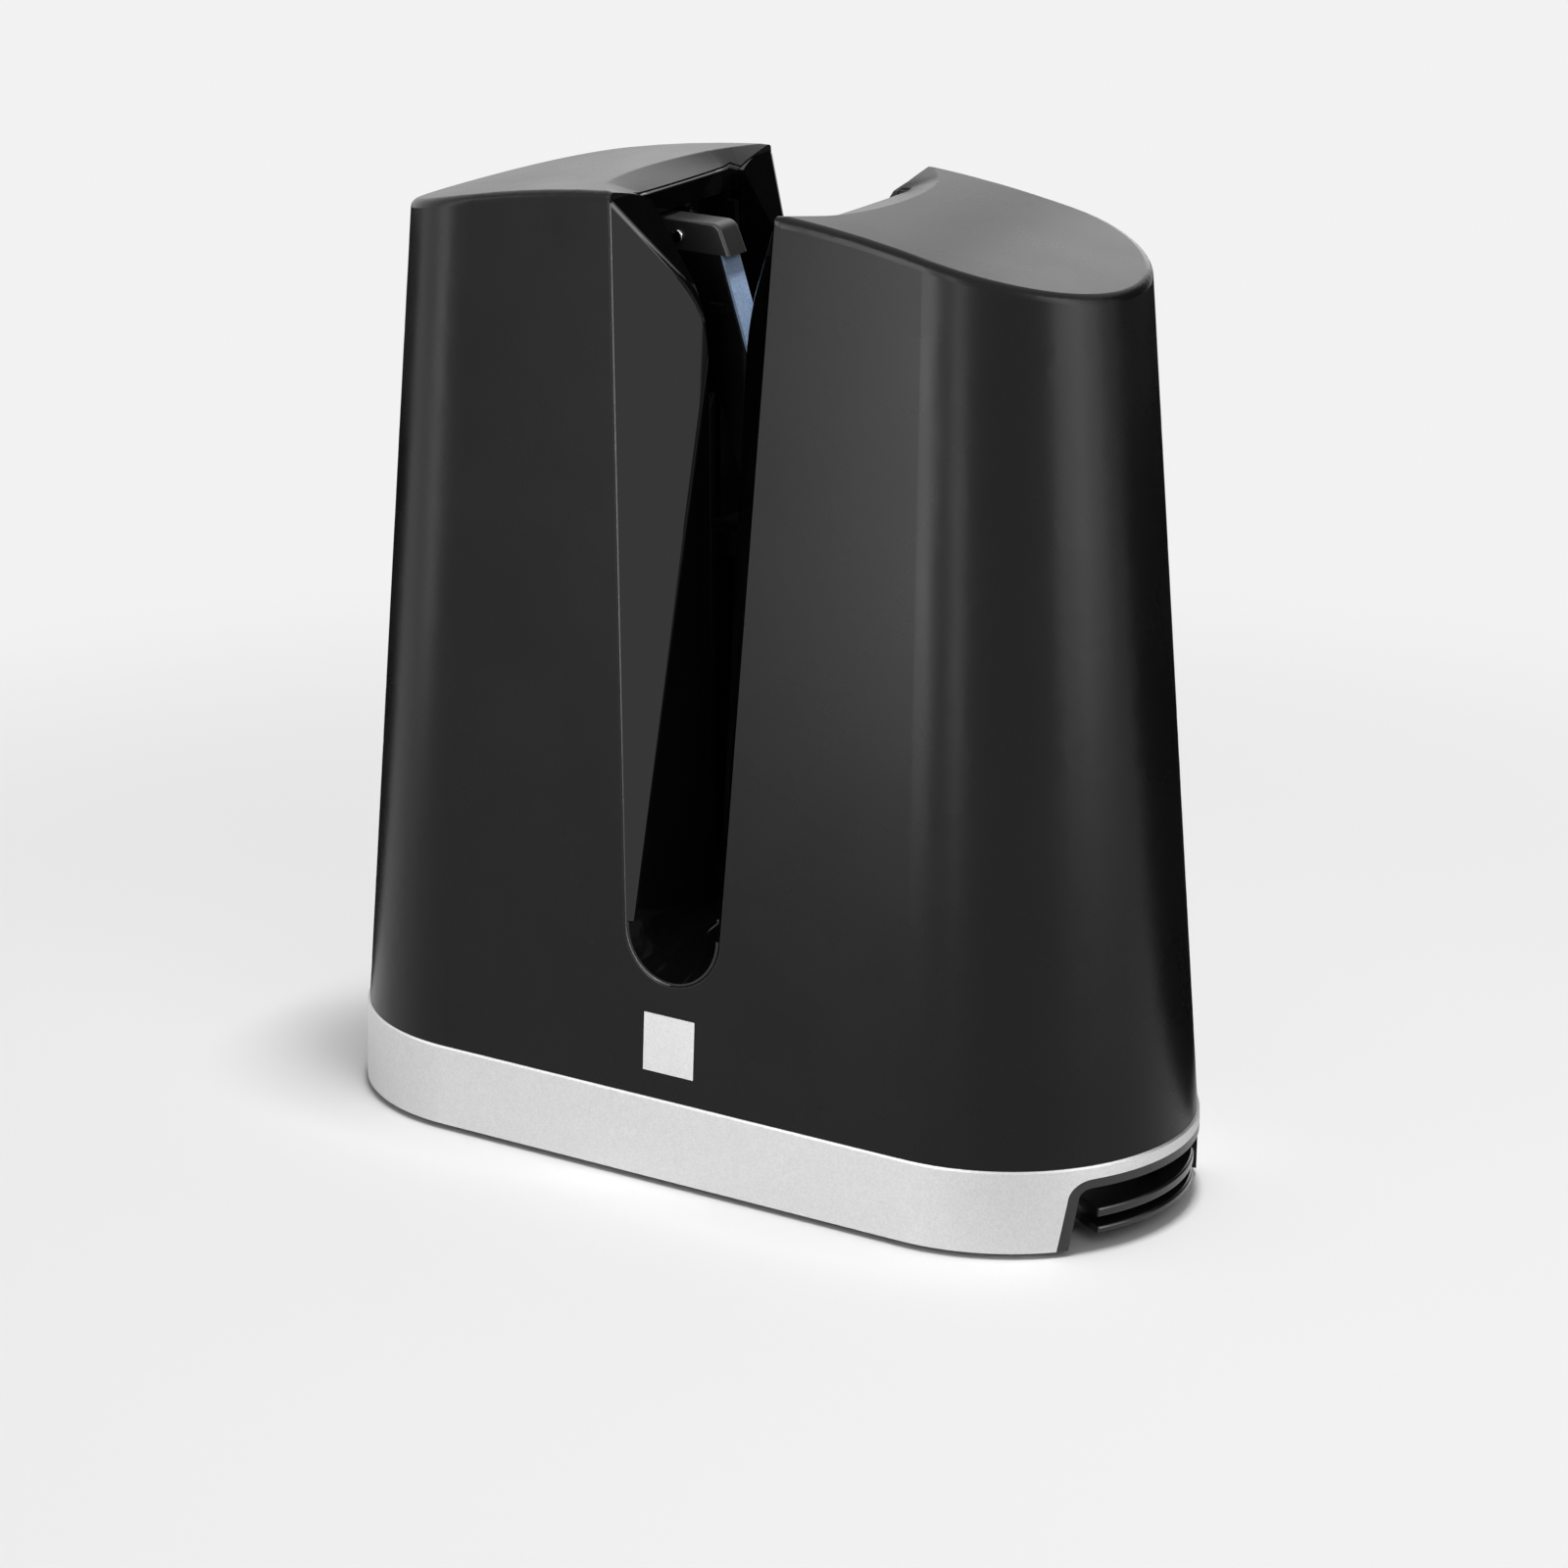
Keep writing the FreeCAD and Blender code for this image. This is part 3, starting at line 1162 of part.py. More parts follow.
def make_motor_screws():
    screws = []
    for z in motor_screw_heights():
        head = rod_y(SCREW_HEAD_R - 0.4, MOTOR_X, z, REAR_PLATE_Y - 0.9, REAR_PLATE_Y)
        screws.append(head.fuse(rod_y(SCREW_R, MOTOR_X, z, REAR_PLATE_Y, REAR_PLATE_Y + PLATE)))
    return Part.makeCompound(screws)


def board_corners():
    left = BOARD_X - BOARD_WIDE / 2
    right = BOARD_X + BOARD_WIDE / 2
    return left, right, BOARD_LOW_Z, BOARD_LOW_Z + BOARD_TALL


def make_board_bracket():
    """Upright plate on the pan that the control board is screwed to."""
    left, right, low, high = board_corners()
    y1 = BOARD_Y - STANDOFF_LONG
    y0 = y1 - BRACKET_THICK
    bracket = box(left, right, y0, y1, PAN_FLOOR_Z, high - BRACKET_DROP)
    foot = box(left, right, y1 - BRACKET_FOOT, y1, PAN_FLOOR_Z, PAN_FLOOR_Z + BRACKET_THICK)
    window = box(left + WINDOW_SIDE, right - WINDOW_SIDE, y0 - 1, y1 + 1,
                 PAN_FLOOR_Z + WINDOW_SILL, low + BRACKET_THICK)
    return bracket.fuse(foot).cut(window).removeSplitter()


def standoff_places():
    left, right, low, high = board_corners()
    heights = (low + STANDOFF_LOW, high - STANDOFF_HIGH)
    return [(x, z) for x in (left + STANDOFF_SIDE, right - STANDOFF_SIDE) for z in heights]


def make_board_standoffs():
    y0 = BOARD_Y - STANDOFF_LONG
    posts = [rod_y(STANDOFF_R, x, z, y0, BOARD_Y) for x, z in standoff_places()]
    return Part.makeCompound(posts)


def make_control_board():
    left, right, low, high = board_corners()
    board = box(left, right, BOARD_Y, BOARD_Y + BOARD_THICK, low, high)
    for x, z in standoff_places():
        board = board.cut(rod_y(BOARD_HOLE_R, x, z, BOARD_Y - 1, BOARD_Y + BOARD_THICK + 1))
    return board


def make_power_module():
    left, right, low, high = board_corners()
    y0 = BOARD_Y + BOARD_THICK
    top = high - MODULE_DROP
    return box(left + MODULE_LEFT, right - MODULE_RIGHT, y0, y0 + MODULE_DEEP, top - MODULE_TALL, top)


def make_smoothing_capacitor():
    left, right, low, high = board_corners()
    y0 = BOARD_Y + BOARD_THICK
    return rod_y(CAN_R, right - CAN_SIDE, low + CAN_HIGH, y0, y0 + CAN_TALL)


def make_terminal_block():
    left, right, low, high = board_corners()
    y0 = BOARD_Y + BOARD_THICK
    x0 = left + BLOCK_SIDE
    z0 = low + BLOCK_LOW
    block = box(x0, x0 + BLOCK_WIDE, y0, y0 + BLOCK_DEEP, z0, z0 + BLOCK_TALL)
    for index in range(BLOCK_WAYS):
        x = x0 + (index + 0.5) * BLOCK_WIDE / BLOCK_WAYS
        hole = rod_y(BLOCK_HOLE_R, x, z0 + BLOCK_TALL / 2, y0 + BLOCK_DEEP / 2, y0 + BLOCK_DEEP + 1)
        block = block.cut(hole)
    return block


def button_face_y():
    return end_radius(BUTTON_Z) + BUTTON_PROUD


def make_power_button():
    """Round push button in the rear face."""
    face = button_face_y()
    inner = face - BUTTON_THICK - WALL
    button = rod_y(BUTTON_R, BUTTON_X, BUTTON_Z, inner, face)
    rims = []
    for edge in button.Edges:
        if edge.BoundBox.YMin > face - 0.1:
            rims.append(edge)
    button = button.makeFillet(BUTTON_EDGE_R, rims)
    return button.fuse(rod_y(BUTTON_STEM_R, BUTTON_X, BUTTON_Z, switch_top() + BUTTON_TRAVEL + 0.3, inner))


def switch_top():
    return BOARD_Y + BOARD_THICK + SWITCH_TALL


def make_button_switch():
    """Switch on the board behind the button."""
    y0 = BOARD_Y + BOARD_THICK
    top = switch_top()
    half = SWITCH_HALF
    shelf = top - PLUNGER_TALL
    body = box(BUTTON_X - half, BUTTON_X + half, y0, shelf, BUTTON_Z - half, BUTTON_Z + half)
    return body.fuse(rod_y(PLUNGER_R, BUTTON_X, BUTTON_Z, shelf, top))


def make_button_spring():
    """Return spring round the button's stem."""
    y0 = switch_top() + BUTTON_TRAVEL + 0.5
    inner = button_face_y() - BUTTON_THICK - WALL - BUTTON_TRAVEL
    ring = rod_y(BUTTON_SPRING_R, BUTTON_X, BUTTON_Z, y0, inner)
    return ring.cut(rod_y(BUTTON_STEM_R + 0.3, BUTTON_X, BUTTON_Z, y0 - 1, inner + 1))


MAKERS = {
    "housing_shell": make_housing_shell,
    "base_band": make_base_band,
    "recess_bezel": make_recess_bezel,
    "base_pan": make_base_pan,
    "cord_winder": make_cord_winder,
    "inlet_gland": make_inlet_gland,
    "rubber_feet": make_rubber_feet,
    "housing_screws": make_housing_screws,
    "badge_plate": make_badge_plate,
    "front_funnel": make_front_funnel,
    "rear_funnel": lambda: turned(make_front_funnel()),
    "shaft_liner": make_shaft_liner,
    "guide_rods": make_guide_rods,
    "carriage": make_carriage,
    "carriage_bushes": make_carriage_bushes,
    "drive_rack": make_drive_rack,
    "left_stone": make_left_stone,
    "left_holder": make_left_holder,
    "left_cap": make_left_cap,
    "left_pivot_pin": make_left_pin,
    "left_spring": make_left_spring,
    "right_stone": lambda: turned(make_left_stone()),
    "right_holder": lambda: turned(make_left_holder()),
    "right_cap": lambda: turned(make_left_cap()),
    "right_pivot_pin": lambda: turned(make_left_pin()),
    "right_spring": lambda: turned(make_left_spring()),
    "rack_pinion": make_rack_pinion,
    "main_wheel": make_main_wheel,
    "drive_shaft": make_drive_shaft,
    "idler_pinion": make_idler_pinion,
    "idler_wheel": make_idler_wheel,
    "idler_shaft": make_idler_shaft,
    "motor_pinion": make_motor_pinion,
    "motor_shaft": make_motor_shaft,
    "gear_plate_front": make_gear_plate_front,
    "gear_plate_rear": make_gear_plate_rear,
    "plate_spacers": make_plate_spacers,
    "plate_screws": make_plate_screws,
    "shaft_bushes": make_shaft_bushes,
    "motor_can": make_motor_can,
    "motor_end_cap": make_motor_end_cap,
    "motor_screws": make_motor_screws,
    "board_bracket": make_board_bracket,
    "board_standoffs": make_board_standoffs,
    "control_board": make_control_board,
    "power_module": make_power_module,
    "smoothing_capacitor": make_smoothing_capacitor,
    "terminal_block": make_terminal_block,
    "power_button": make_power_button,
    "button_switch": make_button_switch,
    "button_spring": make_button_spring,
}

os.makedirs("parts", exist_ok=True)
for name, maker in MAKERS.items():
    shape = maker()
    print(name, "valid" if shape.isValid() else "NOT VALID", len(shape.Solids), round(shape.Volume, 1))
    shape.exportStep("parts/" + name + ".step")
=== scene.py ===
"""An electric knife sharpener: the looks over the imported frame, in metres."""
import math
import bpy
from mathutils import Matrix, Vector


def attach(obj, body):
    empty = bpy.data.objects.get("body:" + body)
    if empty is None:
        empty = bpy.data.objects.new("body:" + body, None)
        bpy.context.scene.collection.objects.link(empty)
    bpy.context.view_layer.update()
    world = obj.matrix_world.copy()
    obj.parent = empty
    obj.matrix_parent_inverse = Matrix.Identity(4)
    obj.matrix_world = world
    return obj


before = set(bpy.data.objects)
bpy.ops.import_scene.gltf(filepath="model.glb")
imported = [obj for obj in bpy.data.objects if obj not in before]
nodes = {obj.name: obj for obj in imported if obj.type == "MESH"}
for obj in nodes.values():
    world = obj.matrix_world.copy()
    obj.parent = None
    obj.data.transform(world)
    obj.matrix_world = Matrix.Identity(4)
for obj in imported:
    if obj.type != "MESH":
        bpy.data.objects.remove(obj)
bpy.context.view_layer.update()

# camera: where the photograph was taken from
CAMERA_AZ = math.radians(33.4513)
CAMERA_EL = math.radians(18.3781)
CAMERA_LENS = 127.38
CAMERA_SENSOR = 36.0
CAMERA_AIM = Vector((0.002187, 0.001445, 0.08817))
CAMERA_RANGE = 1.3333

# background and floor, as linear grey, and how far out the floor fades into the background
BACK_GREY = 0.89
FLOOR_GREY = 0.84
WORLD_FILL = 0.30
FADE_START = 0.24
FADE_END = 0.52
FLOOR_REACH = 9.0
FLOOR_Z = -0.0001

# soft boxes: name, what they act on, azimuth from the front, distance, height of centre, width, height, power
SOFTBOXES = (
    ("left_strip", "shine", -62.0, 0.48, 0.26, 0.085, 0.52, 0.30),
    ("front_strip_left", "shine", -23.0, 0.40, 0.26, 0.060, 0.52, 0.20),
    ("front_strip", "shine", -15.0, 0.40, 0.26, 0.060, 0.52, 0.97),
    ("front_strip_right", "shine", 9.0, 0.40, 0.26, 0.060, 0.52, 0.43),
    ("right_strip_near", "shine", 76.0, 0.60, 0.31, 0.13, 0.62, 0.71),
    ("right_strip", "shine", 88.0, 0.60, 0.31, 0.13, 0.62, 0.97),
    ("right_strip_far", "shine", 100.0, 0.60, 0.31, 0.13, 0.62, 0.46),
    ("back_box_right", "shine", 193.0, 1.50, 0.70, 0.45, 0.80, 2.3),
    ("back_box", "shine", 213.0, 1.50, 0.70, 0.45, 0.80, 0.67),
    ("top_box", "fill", 90.0, 0.12, 1.50, 0.25, 0.25, 16.0),
    ("side_box", "fill", 60.0, 1.10, 0.90, 0.80, 0.80, 1.9),
)
LAMP_AIM = Vector((0.0, 0.0, 0.12))

# black cards: name, azimuths from the front, distance and height of the near and the far rim
CARDS = (
    ("back_card", 122.0, 266.0, (0.13, 0.001), (1.60, 0.001)),
    ("side_card", 125.0, 172.0, (1.10, 0.10), (1.10, 0.95)),
)
CARD_GREY = 0.004
CARD_STEPS = 24

# thin bead along the left edge of each funnel, from the sizes of the housing; it stands in for the rounded
# polished edge, and its lighter grey paints that edge's highlight line
BEAD_R = 0.00020
BEAD_SUNK = 0.0001
BEAD_TOP_Z = 0.2338
BEAD_SIDES = 8
SLOT_FOOT_Z = 0.06335
SLOT_R = 0.01320
SLOT_LEAN = math.radians(3.07)
FACE_Y = 0.0455
FACE_DRAFT = 0.0556
BAND_TOP_Z = 0.0215
ROUND_STEPS = 24
RISE_STEPS = 40

# stretches of the coordinates that turn noise into lines along or across an axis
EVEN = (1.0, 1.0, 1.0)
ACROSS_X = (0.04, 1.0, 1.0)
ROUND_Y = (1.0, 0.05, 1.0)
UPRIGHT = (1.0, 1.0, 0.05)
WORN = (1.0, 1.0, 0.06)
STREAKED = (1.0, 1.0, 0.02)


def material(name):
    """A new material with its tree and its main shader."""
    made = bpy.data.materials.new(name)
    made.use_nodes = True
    tree = made.node_tree
    return made, tree, tree.nodes["Principled BSDF"]


def coords(tree, stretch=EVEN):
    """Object coordinates, stretched per axis."""
    source = tree.nodes.new("ShaderNodeTexCoord")
    mapping = tree.nodes.new("ShaderNodeMapping")
    mapping.inputs["Scale"].default_value = stretch
    tree.links.new(source.outputs["Object"], mapping.inputs["Vector"])
    return mapping.outputs["Vector"]


def noise(tree, vector, scale, detail=3.0, rough=0.55):
    """Cloudy value of about 0.3 to 0.7."""
    node = tree.nodes.new("ShaderNodeTexNoise")
    node.inputs["Scale"].default_value = scale
    node.inputs["Detail"].default_value = detail
    node.inputs["Roughness"].default_value = rough
    tree.links.new(vector, node.inputs["Vector"])
    return node.outputs["Fac"]


def cells(tree, vector, scale):
    """Random grey per small cell, for flakes and grit."""
    node = tree.nodes.new("ShaderNodeTexVoronoi")
    node.inputs["Scale"].default_value = scale
    tree.links.new(vector, node.inputs["Vector"])
    split = tree.nodes.new("ShaderNodeSeparateColor")
    tree.links.new(node.outputs["Color"], split.inputs["Color"])
    return split.outputs["Red"]


def spread(tree, value, low, high, to_low, to_high):
    """Maps low..high of a value to to_low..to_high."""
    node = tree.nodes.new("ShaderNodeMapRange")
    node.inputs["From Min"].default_value = low
    node.inputs["From Max"].default_value = high
    node.inputs["To Min"].default_value = to_low
    node.inputs["To Max"].default_value = to_high
    tree.links.new(value, node.inputs["Value"])
    return node.outputs["Result"]


def cloud_to(tree, cloud, to_low, to_high):
    """Maps the usual span of a noise value to to_low..to_high."""
    return spread(tree, cloud, 0.3, 0.7, to_low, to_high)


def tint(tree, value, dark, light):
    """Mixes two colours by a value of 0 to 1."""
    node = tree.nodes.new("ShaderNodeMix")
    node.data_type = "RGBA"
    node.inputs["A"].default_value = (*dark, 1.0)
    node.inputs["B"].default_value = (*light, 1.0)
    tree.links.new(value, node.inputs["Factor"])
    return node.outputs["Result"]


def weighted_sum(tree, first, weight, second):
    """First value times a weight, plus the second value."""
    node = tree.nodes.new("ShaderNodeMath")
    node.operation = "MULTIPLY_ADD"
    node.inputs[1].default_value = weight
    tree.links.new(first, node.inputs[0])
    tree.links.new(second, node.inputs[2])
    return node.outputs["Value"]


def emboss(tree, shader, height, strength, depth, under=None):
    """Bumps the surface by a height value; depth in metres."""
    node = tree.nodes.new("ShaderNodeBump")
    node.inputs["Strength"].default_value = strength
    node.inputs["Distance"].default_value = depth
    tree.links.new(height, node.inputs["Height"])
    if under is not None:
        tree.links.new(under, node.inputs["Normal"])
    tree.links.new(node.outputs["Normal"], shader.inputs["Normal"])
    return node.outputs["Normal"]


def grey(value):
    return (value, value, value)


def plastic(name, dark, light, rough, level, grain, depth, wave=0.0):
    """Moulded plastic: fine grain, slow colour and roughness change, faint waviness."""
    made, tree, shader = material(name)
    place = coords(tree)
    slow = noise(tree, place, 35.0, 4.0)
    fine = noise(tree, place, grain, 2.0)
    shader.inputs["Specular IOR Level"].default_value = level
    tree.links.new(tint(tree, slow, dark, light), shader.inputs["Base Color"])
    tree.links.new(cloud_to(tree, slow, *rough), shader.inputs["Roughness"])
    under = emboss(tree, shader, slow, strength=0.2, depth=wave) if wave else None
    emboss(tree, shader, fine, strength=0.5, depth=depth, under=under)
    return made


def metal(name, dark, light, rough, scale, stretch, depth, grain=1500.0):
    """Bare metal: lines or grit that vary its colour, roughness and height."""
    made, tree, shader = material(name)
    lines = noise(tree, coords(tree, stretch), scale, 4.0, 0.6)
    flake = cells(tree, coords(tree), grain)
    shader.inputs["Metallic"].default_value = 1.0
    mixed = weighted_sum(tree, lines, 0.5, spread(tree, flake, 0.0, 1.0, 0.0, 0.5))
    tree.links.new(tint(tree, mixed, dark, light), shader.inputs["Base Color"])
    tree.links.new(cloud_to(tree, lines, *rough), shader.inputs["Roughness"])
    emboss(tree, shader, lines, strength=0.4, depth=depth)
    return made


def gloss_black(name, level, streak):
    """Polished black: mirror finish with faint moulding waves and fine upright streaks."""
    made, tree, shader = material(name)
    slow = noise(tree, coords(tree), 22.0, 1.0)
    lines = noise(tree, coords(tree, STREAKED), 600.0, 2.0)
    shader.inputs["Specular IOR Level"].default_value = level
    tree.links.new(tint(tree, lines, grey(0.0016), grey(0.0034)), shader.inputs["Base Color"])
    tree.links.new(cloud_to(tree, lines, 0.035, 0.035 + streak), shader.inputs["Roughness"])
    emboss(tree, shader, slow, strength=0.10, depth=0.0008)
    return made


def stone():
    """Ground ceramic: pale blue with fine grit and faint wear along the travel."""
    made, tree, shader = material("blue_stone")
    place = coords(tree)
    grit = cells(tree, place, 2600.0)
    cloud = noise(tree, place, 160.0, 4.0)
    wear = noise(tree, coords(tree, WORN), 700.0, 2.0)
    mixed = weighted_sum(tree, grit, 0.55, cloud_to(tree, cloud, 0.0, 0.45))
    blue = tint(tree, mixed, (0.27, 0.40, 0.62), (0.50, 0.64, 0.88))
    tree.links.new(blue, shader.inputs["Base Color"])
    tree.links.new(cloud_to(tree, wear, 0.55, 0.85), shader.inputs["Roughness"])
    emboss(tree, shader, grit, strength=0.5, depth=0.00012)
    return made


def board():
    """Solder mask over square copper tracks, with a thin clear gloss."""
    made, tree, shader = material("green_board")
    place = coords(tree)
    tracks = tree.nodes.new("ShaderNodeTexVoronoi")
    tracks.distance = "MANHATTAN"
    tracks.feature = "F1"
    tracks.inputs["Scale"].default_value = 190.0
    tree.links.new(place, tracks.inputs["Vector"])
    line = spread(tree, tracks.outputs["Distance"], 0.42, 0.48, 0.0, 1.0)
    tree.links.new(tint(tree, line, (0.01, 0.10, 0.035), (0.02, 0.20, 0.07)), shader.inputs["Base Color"])
    shader.inputs["Coat Weight"].default_value = 0.4
    cloud = noise(tree, place, 300.0)
    tree.links.new(cloud_to(tree, cloud, 0.25, 0.40), shader.inputs["Roughness"])
    emboss(tree, shader, line, strength=0.3, depth=0.00005)
    return made


# one finish for each material slot of the frame
FINISHES = {
    "housing": plastic("charcoal_shell", grey(0.0040), grey(0.0060), (0.25, 0.30), 0.21, 2600.0, 0.00002),
    "gloss_black": gloss_black("polished_black", 0.5, 0.02),
    "satin_silver": metal("satin_silver", grey(0.54), grey(0.70), (0.40, 0.46), 900.0, EVEN, 0.000008,
                          grain=3600.0),
    "bezel": plastic("bezel_grey", grey(0.020), grey(0.028), (0.24, 0.32), 0.5, 2600.0, 0.00003),
    "black_plastic": plastic("moulded_black", grey(0.010), grey(0.016), (0.30, 0.42), 0.45, 1800.0, 0.00006),
    "winder_black": plastic("winder_black", grey(0.010), grey(0.015), (0.14, 0.22), 0.5, 2200.0, 0.00002,
                            wave=0.0006),
    "rubber": plastic("foot_rubber", grey(0.012), grey(0.022), (0.70, 0.90), 0.3, 900.0, 0.00015),
    "steel": metal("zinc_steel", grey(0.48), grey(0.70), (0.20, 0.36), 1400.0, EVEN, 0.00003),
    "ground_steel": metal("ground_steel", grey(0.50), grey(0.72), (0.14, 0.26), 2500.0, UPRIGHT, 0.00002),
    "chrome": metal("chrome", grey(0.82), grey(0.90), (0.14, 0.20), 300.0, EVEN, 0.000004, grain=3000.0),
    "stone": stone(),
    "cap_grey": plastic("cap_grey", grey(0.020), grey(0.030), (0.26, 0.36), 0.5, 2600.0, 0.00004),
    "brass": metal("turned_brass", (0.60, 0.42, 0.14), (0.82, 0.62, 0.26), (0.16, 0.28), 2500.0, ROUND_Y,
                   0.00002),
    "bronze": metal("sintered_bronze", (0.36, 0.22, 0.09), (0.62, 0.42, 0.20), (0.34, 0.52), 1600.0, EVEN,
                    0.00006),
    "gear_white": plastic("acetal", (0.62, 0.61, 0.56), (0.76, 0.75, 0.70), (0.34, 0.46), 0.45, 1400.0,
                          0.00004),
    "plate_metal": metal("stamped_plate", grey(0.46), grey(0.66), (0.26, 0.40), 1600.0, ACROSS_X, 0.00003),
    "motor_steel": metal("motor_can", grey(0.36), grey(0.52), (0.22, 0.34), 1800.0, ROUND_Y, 0.00002),
    "board_green": board(),
    "module_black": plastic("potted_module", grey(0.012), grey(0.020), (0.42, 0.60), 0.4, 1200.0, 0.00008),
    "capacitor_sleeve": plastic("capacitor_sleeve", (0.008, 0.014, 0.05), (0.014, 0.022, 0.08), (0.16, 0.28),
                                0.5, 500.0, 0.00003),
    "terminal_green": plastic("terminal_green", (0.02, 0.20, 0.05), (0.03, 0.28, 0.08), (0.22, 0.34), 0.5,
                              1500.0, 0.00003),
    "button": plastic("button_grey", grey(0.16), grey(0.20), (0.30, 0.40), 0.5, 2400.0, 0.00004),
}

# finishes of pieces that look unlike the others in their slot
WELL_BLACK = gloss_black("well_black", 0.35, 0.12)
HOLDER_BLACK = plastic("holder_black", grey(0.0015), grey(0.0028), (0.30, 0.38), 0.22, 1800.0, 0.00004)
# the bead's grey is far lighter than the polished black beside it: a painted highlight line along the edge
BEAD_HIGHLIGHT = plastic("bead_painted_highlight", grey(0.030), grey(0.045), (0.14, 0.20), 1.0, 900.0, 0.000005)


def bead_path():
    """Left side of the slot's outline on the front face, from its top to the middle of its round foot."""
    spots = []
    for index in range(ROUND_STEPS + 1):
        turn = (math.radians(90.0) - SLOT_LEAN) * index / ROUND_STEPS
        spots.append((-SLOT_R * math.sin(turn), SLOT_FOOT_Z - SLOT_R * math.cos(turn)))
    foot_x, foot_z = spots[-1]
    for index in range(1, RISE_STEPS + 1):
        z = foot_z + (BEAD_TOP_Z - foot_z) * index / RISE_STEPS
        spots.append((foot_x - (z - foot_z) * math.tan(SLOT_LEAN), z))
    return [Vector((x, BEAD_SUNK - FACE_Y + FACE_DRAFT * (z - BAND_TOP_Z), z)) for x, z in spots[::-1]]


def add_highlight_bead(name, side):
    """Thin round bead swept along half of the slot's outline, lighter grey than the black round it so that it
    paints the rounded edge's highlight line; side 1 is the front, -1 the back.
    """
    path = [Vector((spot.x * side, spot.y * side, spot.z)) for spot in bead_path()]
    corners = []
    for index, spot in enumerate(path):
        along = (path[min(index + 1, len(path) - 1)] - path[max(index - 1, 0)]).normalized()
        across = along.cross(Vector((0, side, 0))).normalized()
        out = across.cross(along)
        for step in range(BEAD_SIDES):
            turn = 2 * math.pi * step / BEAD_SIDES
            corners.append(spot + (across * math.cos(turn) + out * math.sin(turn)) * BEAD_R)
    faces = []
    for row in range(len(path) - 1):
        low, high = row * BEAD_SIDES, (row + 1) * BEAD_SIDES
        for step in range(BEAD_SIDES):
            beside = (step + 1) % BEAD_SIDES
            faces.append((low + step, low + beside, high + beside, high + step))
    mesh = bpy.data.meshes.new(name)
    mesh.from_pydata(corners, [], faces)
    mesh.shade_smooth()
    mesh.materials.append(BEAD_HIGHLIGHT)
    bead = bpy.data.objects.new(name, mesh)
    bpy.context.scene.collection.objects.link(bead)
    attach(bead, "base")


def direction(azimuth, elevation):
    """The way from the object to a point at these angles; azimuth 0 is the front."""
    return Vector((math.sin(azimuth) * math.cos(elevation), -math.cos(azimuth) * math.cos(elevation),
                   math.sin(elevation)))


def aimed(obj, place, target):
    """Puts a lamp or camera at a place, facing a target."""
    back = (place - target).normalized()
    right = Vector((0, 0, 1)).cross(back).normalized()
    up = back.cross(right)
    turn = Matrix((right, up, back)).transposed().to_4x4()
    obj.matrix_world = Matrix.Translation(place) @ turn


def add_camera():
    data = bpy.data.cameras.new("camera")
    data.lens = CAMERA_LENS
    data.sensor_width = CAMERA_SENSOR
    camera = bpy.data.objects.new("camera", data)
    bpy.context.scene.collection.objects.link(camera)
    aimed(camera, CAMERA_AIM + direction(CAMERA_AZ, CAMERA_EL) * CAMERA_RANGE, CAMERA_AIM)
    bpy.context.scene.camera = camera


def add_softbox(name, acts_on, azimuth, distance, height, width, tall, power):
    """Area lamp that acts on reflections alone ("shine") or on the rest alone ("fill")."""
    data = bpy.data.lights.new(name, "AREA")
    data.shape = "RECTANGLE"
    data.size = width
    data.size_y = tall
    data.energy = power
    lamp = bpy.data.objects.new(name, data)
    lamp.visible_diffuse = acts_on != "shine"
    lamp.visible_glossy = acts_on != "fill"
    lamp.visible_camera = False
    bpy.context.scene.collection.objects.link(lamp)
    place = direction(math.radians(azimuth), 0.0) * distance + Vector((0, 0, height))
    aimed(lamp, place, LAMP_AIM)


def add_card(name, start, end, near, far):
    """Black card round part of the object, seen in reflections alone."""
    spots = []
    for reach, height in (near, far):
        for index in range(CARD_STEPS + 1):
            turn = math.radians(start + (end - start) * index / CARD_STEPS)
            spots.append(direction(turn, 0.0) * reach + Vector((0, 0, height)))
    row = CARD_STEPS + 1
    faces = [(i, i + 1, row + i + 1, row + i) for i in range(CARD_STEPS)]
    mesh = bpy.data.meshes.new(name)
    mesh.from_pydata(spots, [], faces)
    card = bpy.data.objects.new(name, mesh)
    bpy.context.scene.collection.objects.link(card)
    made, tree, shader = material("black_card")
    shader.inputs["Base Color"].default_value = (*grey(CARD_GREY), 1)
    shader.inputs["Roughness"].default_value = 1.0
    shader.inputs["Specular IOR Level"].default_value = 0.0
    mesh.materials.append(made)
    card.visible_camera = False
    card.visible_diffuse = False
    card.visible_transmission = False
    card.visible_shadow = False


def seen_ray(tree):
    """1 for camera, glossy and transmission rays, 0 for the rest."""
    path = tree.nodes.new("ShaderNodeLightPath")
    total = path.outputs["Is Camera Ray"]
    for other in ("Is Glossy Ray", "Is Transmission Ray"):
        larger = tree.nodes.new("ShaderNodeMath")
        larger.operation = "MAXIMUM"
        tree.links.new(total, larger.inputs[0])
        tree.links.new(path.outputs[other], larger.inputs[1])
        total = larger.outputs["Value"]
    return total


def add_world():
    """Pale background where it is seen, and a weaker fill light from all round."""
    world = bpy.data.worlds.new("studio")
    bpy.context.scene.world = world
    world.use_nodes = True
    tree = world.node_tree
    shader = tree.nodes["Background"]
    shader.inputs["Color"].default_value = (1, 1, 1, 1)
    strength = spread(tree, seen_ray(tree), 0.0, 1.0, WORLD_FILL, BACK_GREY)
    tree.links.new(strength, shader.inputs["Strength"])


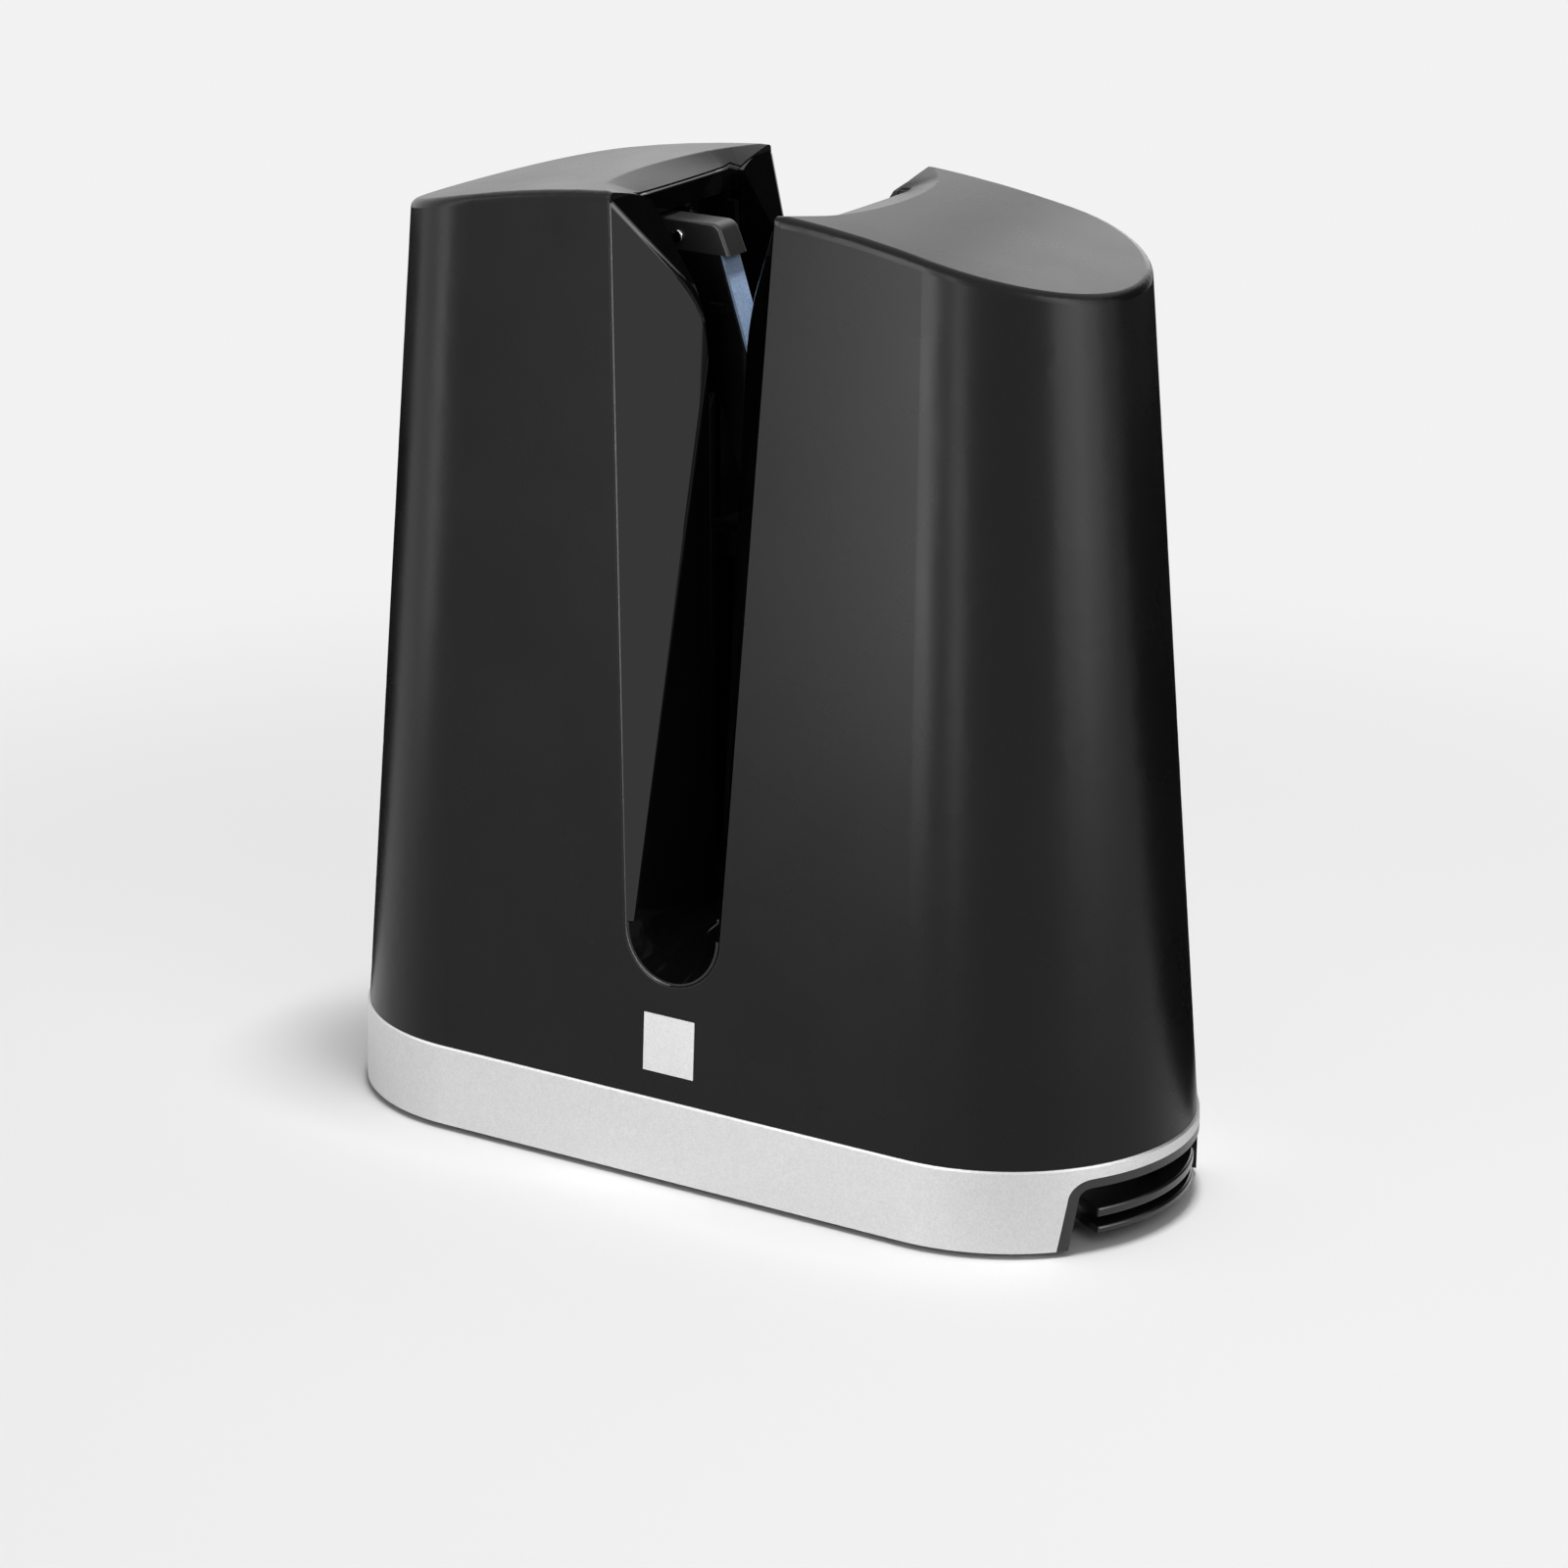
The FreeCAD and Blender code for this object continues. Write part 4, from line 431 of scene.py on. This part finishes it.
def floor_finish():
    """Matt pale floor that fades into the tone of the background away from the object."""
    made, tree, shader = material("pale_floor")
    tree.nodes.remove(shader)
    matt = tree.nodes.new("ShaderNodeBsdfDiffuse")
    matt.inputs["Color"].default_value = (*grey(FLOOR_GREY), 1)
    glow = tree.nodes.new("ShaderNodeEmission")
    glow.inputs["Color"].default_value = (*grey(BACK_GREY), 1)
    place = tree.nodes.new("ShaderNodeNewGeometry")
    away = tree.nodes.new("ShaderNodeVectorMath")
    away.operation = "LENGTH"
    tree.links.new(place.outputs["Position"], away.inputs[0])
    fade = tree.nodes.new("ShaderNodeMapRange")
    fade.interpolation_type = "SMOOTHSTEP"
    fade.inputs["From Min"].default_value = FADE_START
    fade.inputs["From Max"].default_value = FADE_END
    tree.links.new(away.outputs["Value"], fade.inputs["Value"])
    both = tree.nodes.new("ShaderNodeMath")
    both.operation = "MULTIPLY"
    tree.links.new(fade.outputs["Result"], both.inputs[0])
    tree.links.new(seen_ray(tree), both.inputs[1])
    mix = tree.nodes.new("ShaderNodeMixShader")
    tree.links.new(both.outputs["Value"], mix.inputs["Fac"])
    tree.links.new(matt.outputs["BSDF"], mix.inputs[1])
    tree.links.new(glow.outputs["Emission"], mix.inputs[2])
    tree.links.new(mix.outputs["Shader"], tree.nodes["Material Output"].inputs["Surface"])
    return made


def add_floor():
    mesh = bpy.data.meshes.new("floor")
    corners = [(x * FLOOR_REACH, y * FLOOR_REACH, FLOOR_Z) for x, y in ((-1, -1), (1, -1), (1, 1), (-1, 1))]
    mesh.from_pydata(corners, [], [(0, 1, 2, 3)])
    mesh.materials.append(floor_finish())
    floor = bpy.data.objects.new("floor", mesh)
    bpy.context.scene.collection.objects.link(floor)


for piece in nodes.values():
    for held in piece.material_slots:
        held.material = FINISHES[held.material.name.split(".")[0]]
nodes["shaft_liner"].material_slots[0].material = WELL_BLACK
for name in ("left_holder", "right_holder", "carriage"):
    nodes[name].material_slots[0].material = HOLDER_BLACK
add_highlight_bead("front_highlight_bead", 1)
add_highlight_bead("rear_highlight_bead", -1)

add_camera()
add_world()
add_floor()
for card in CARDS:
    add_card(*card)
for box in SOFTBOXES:
    add_softbox(*box)
bpy.context.scene.view_settings.view_transform = "Standard"
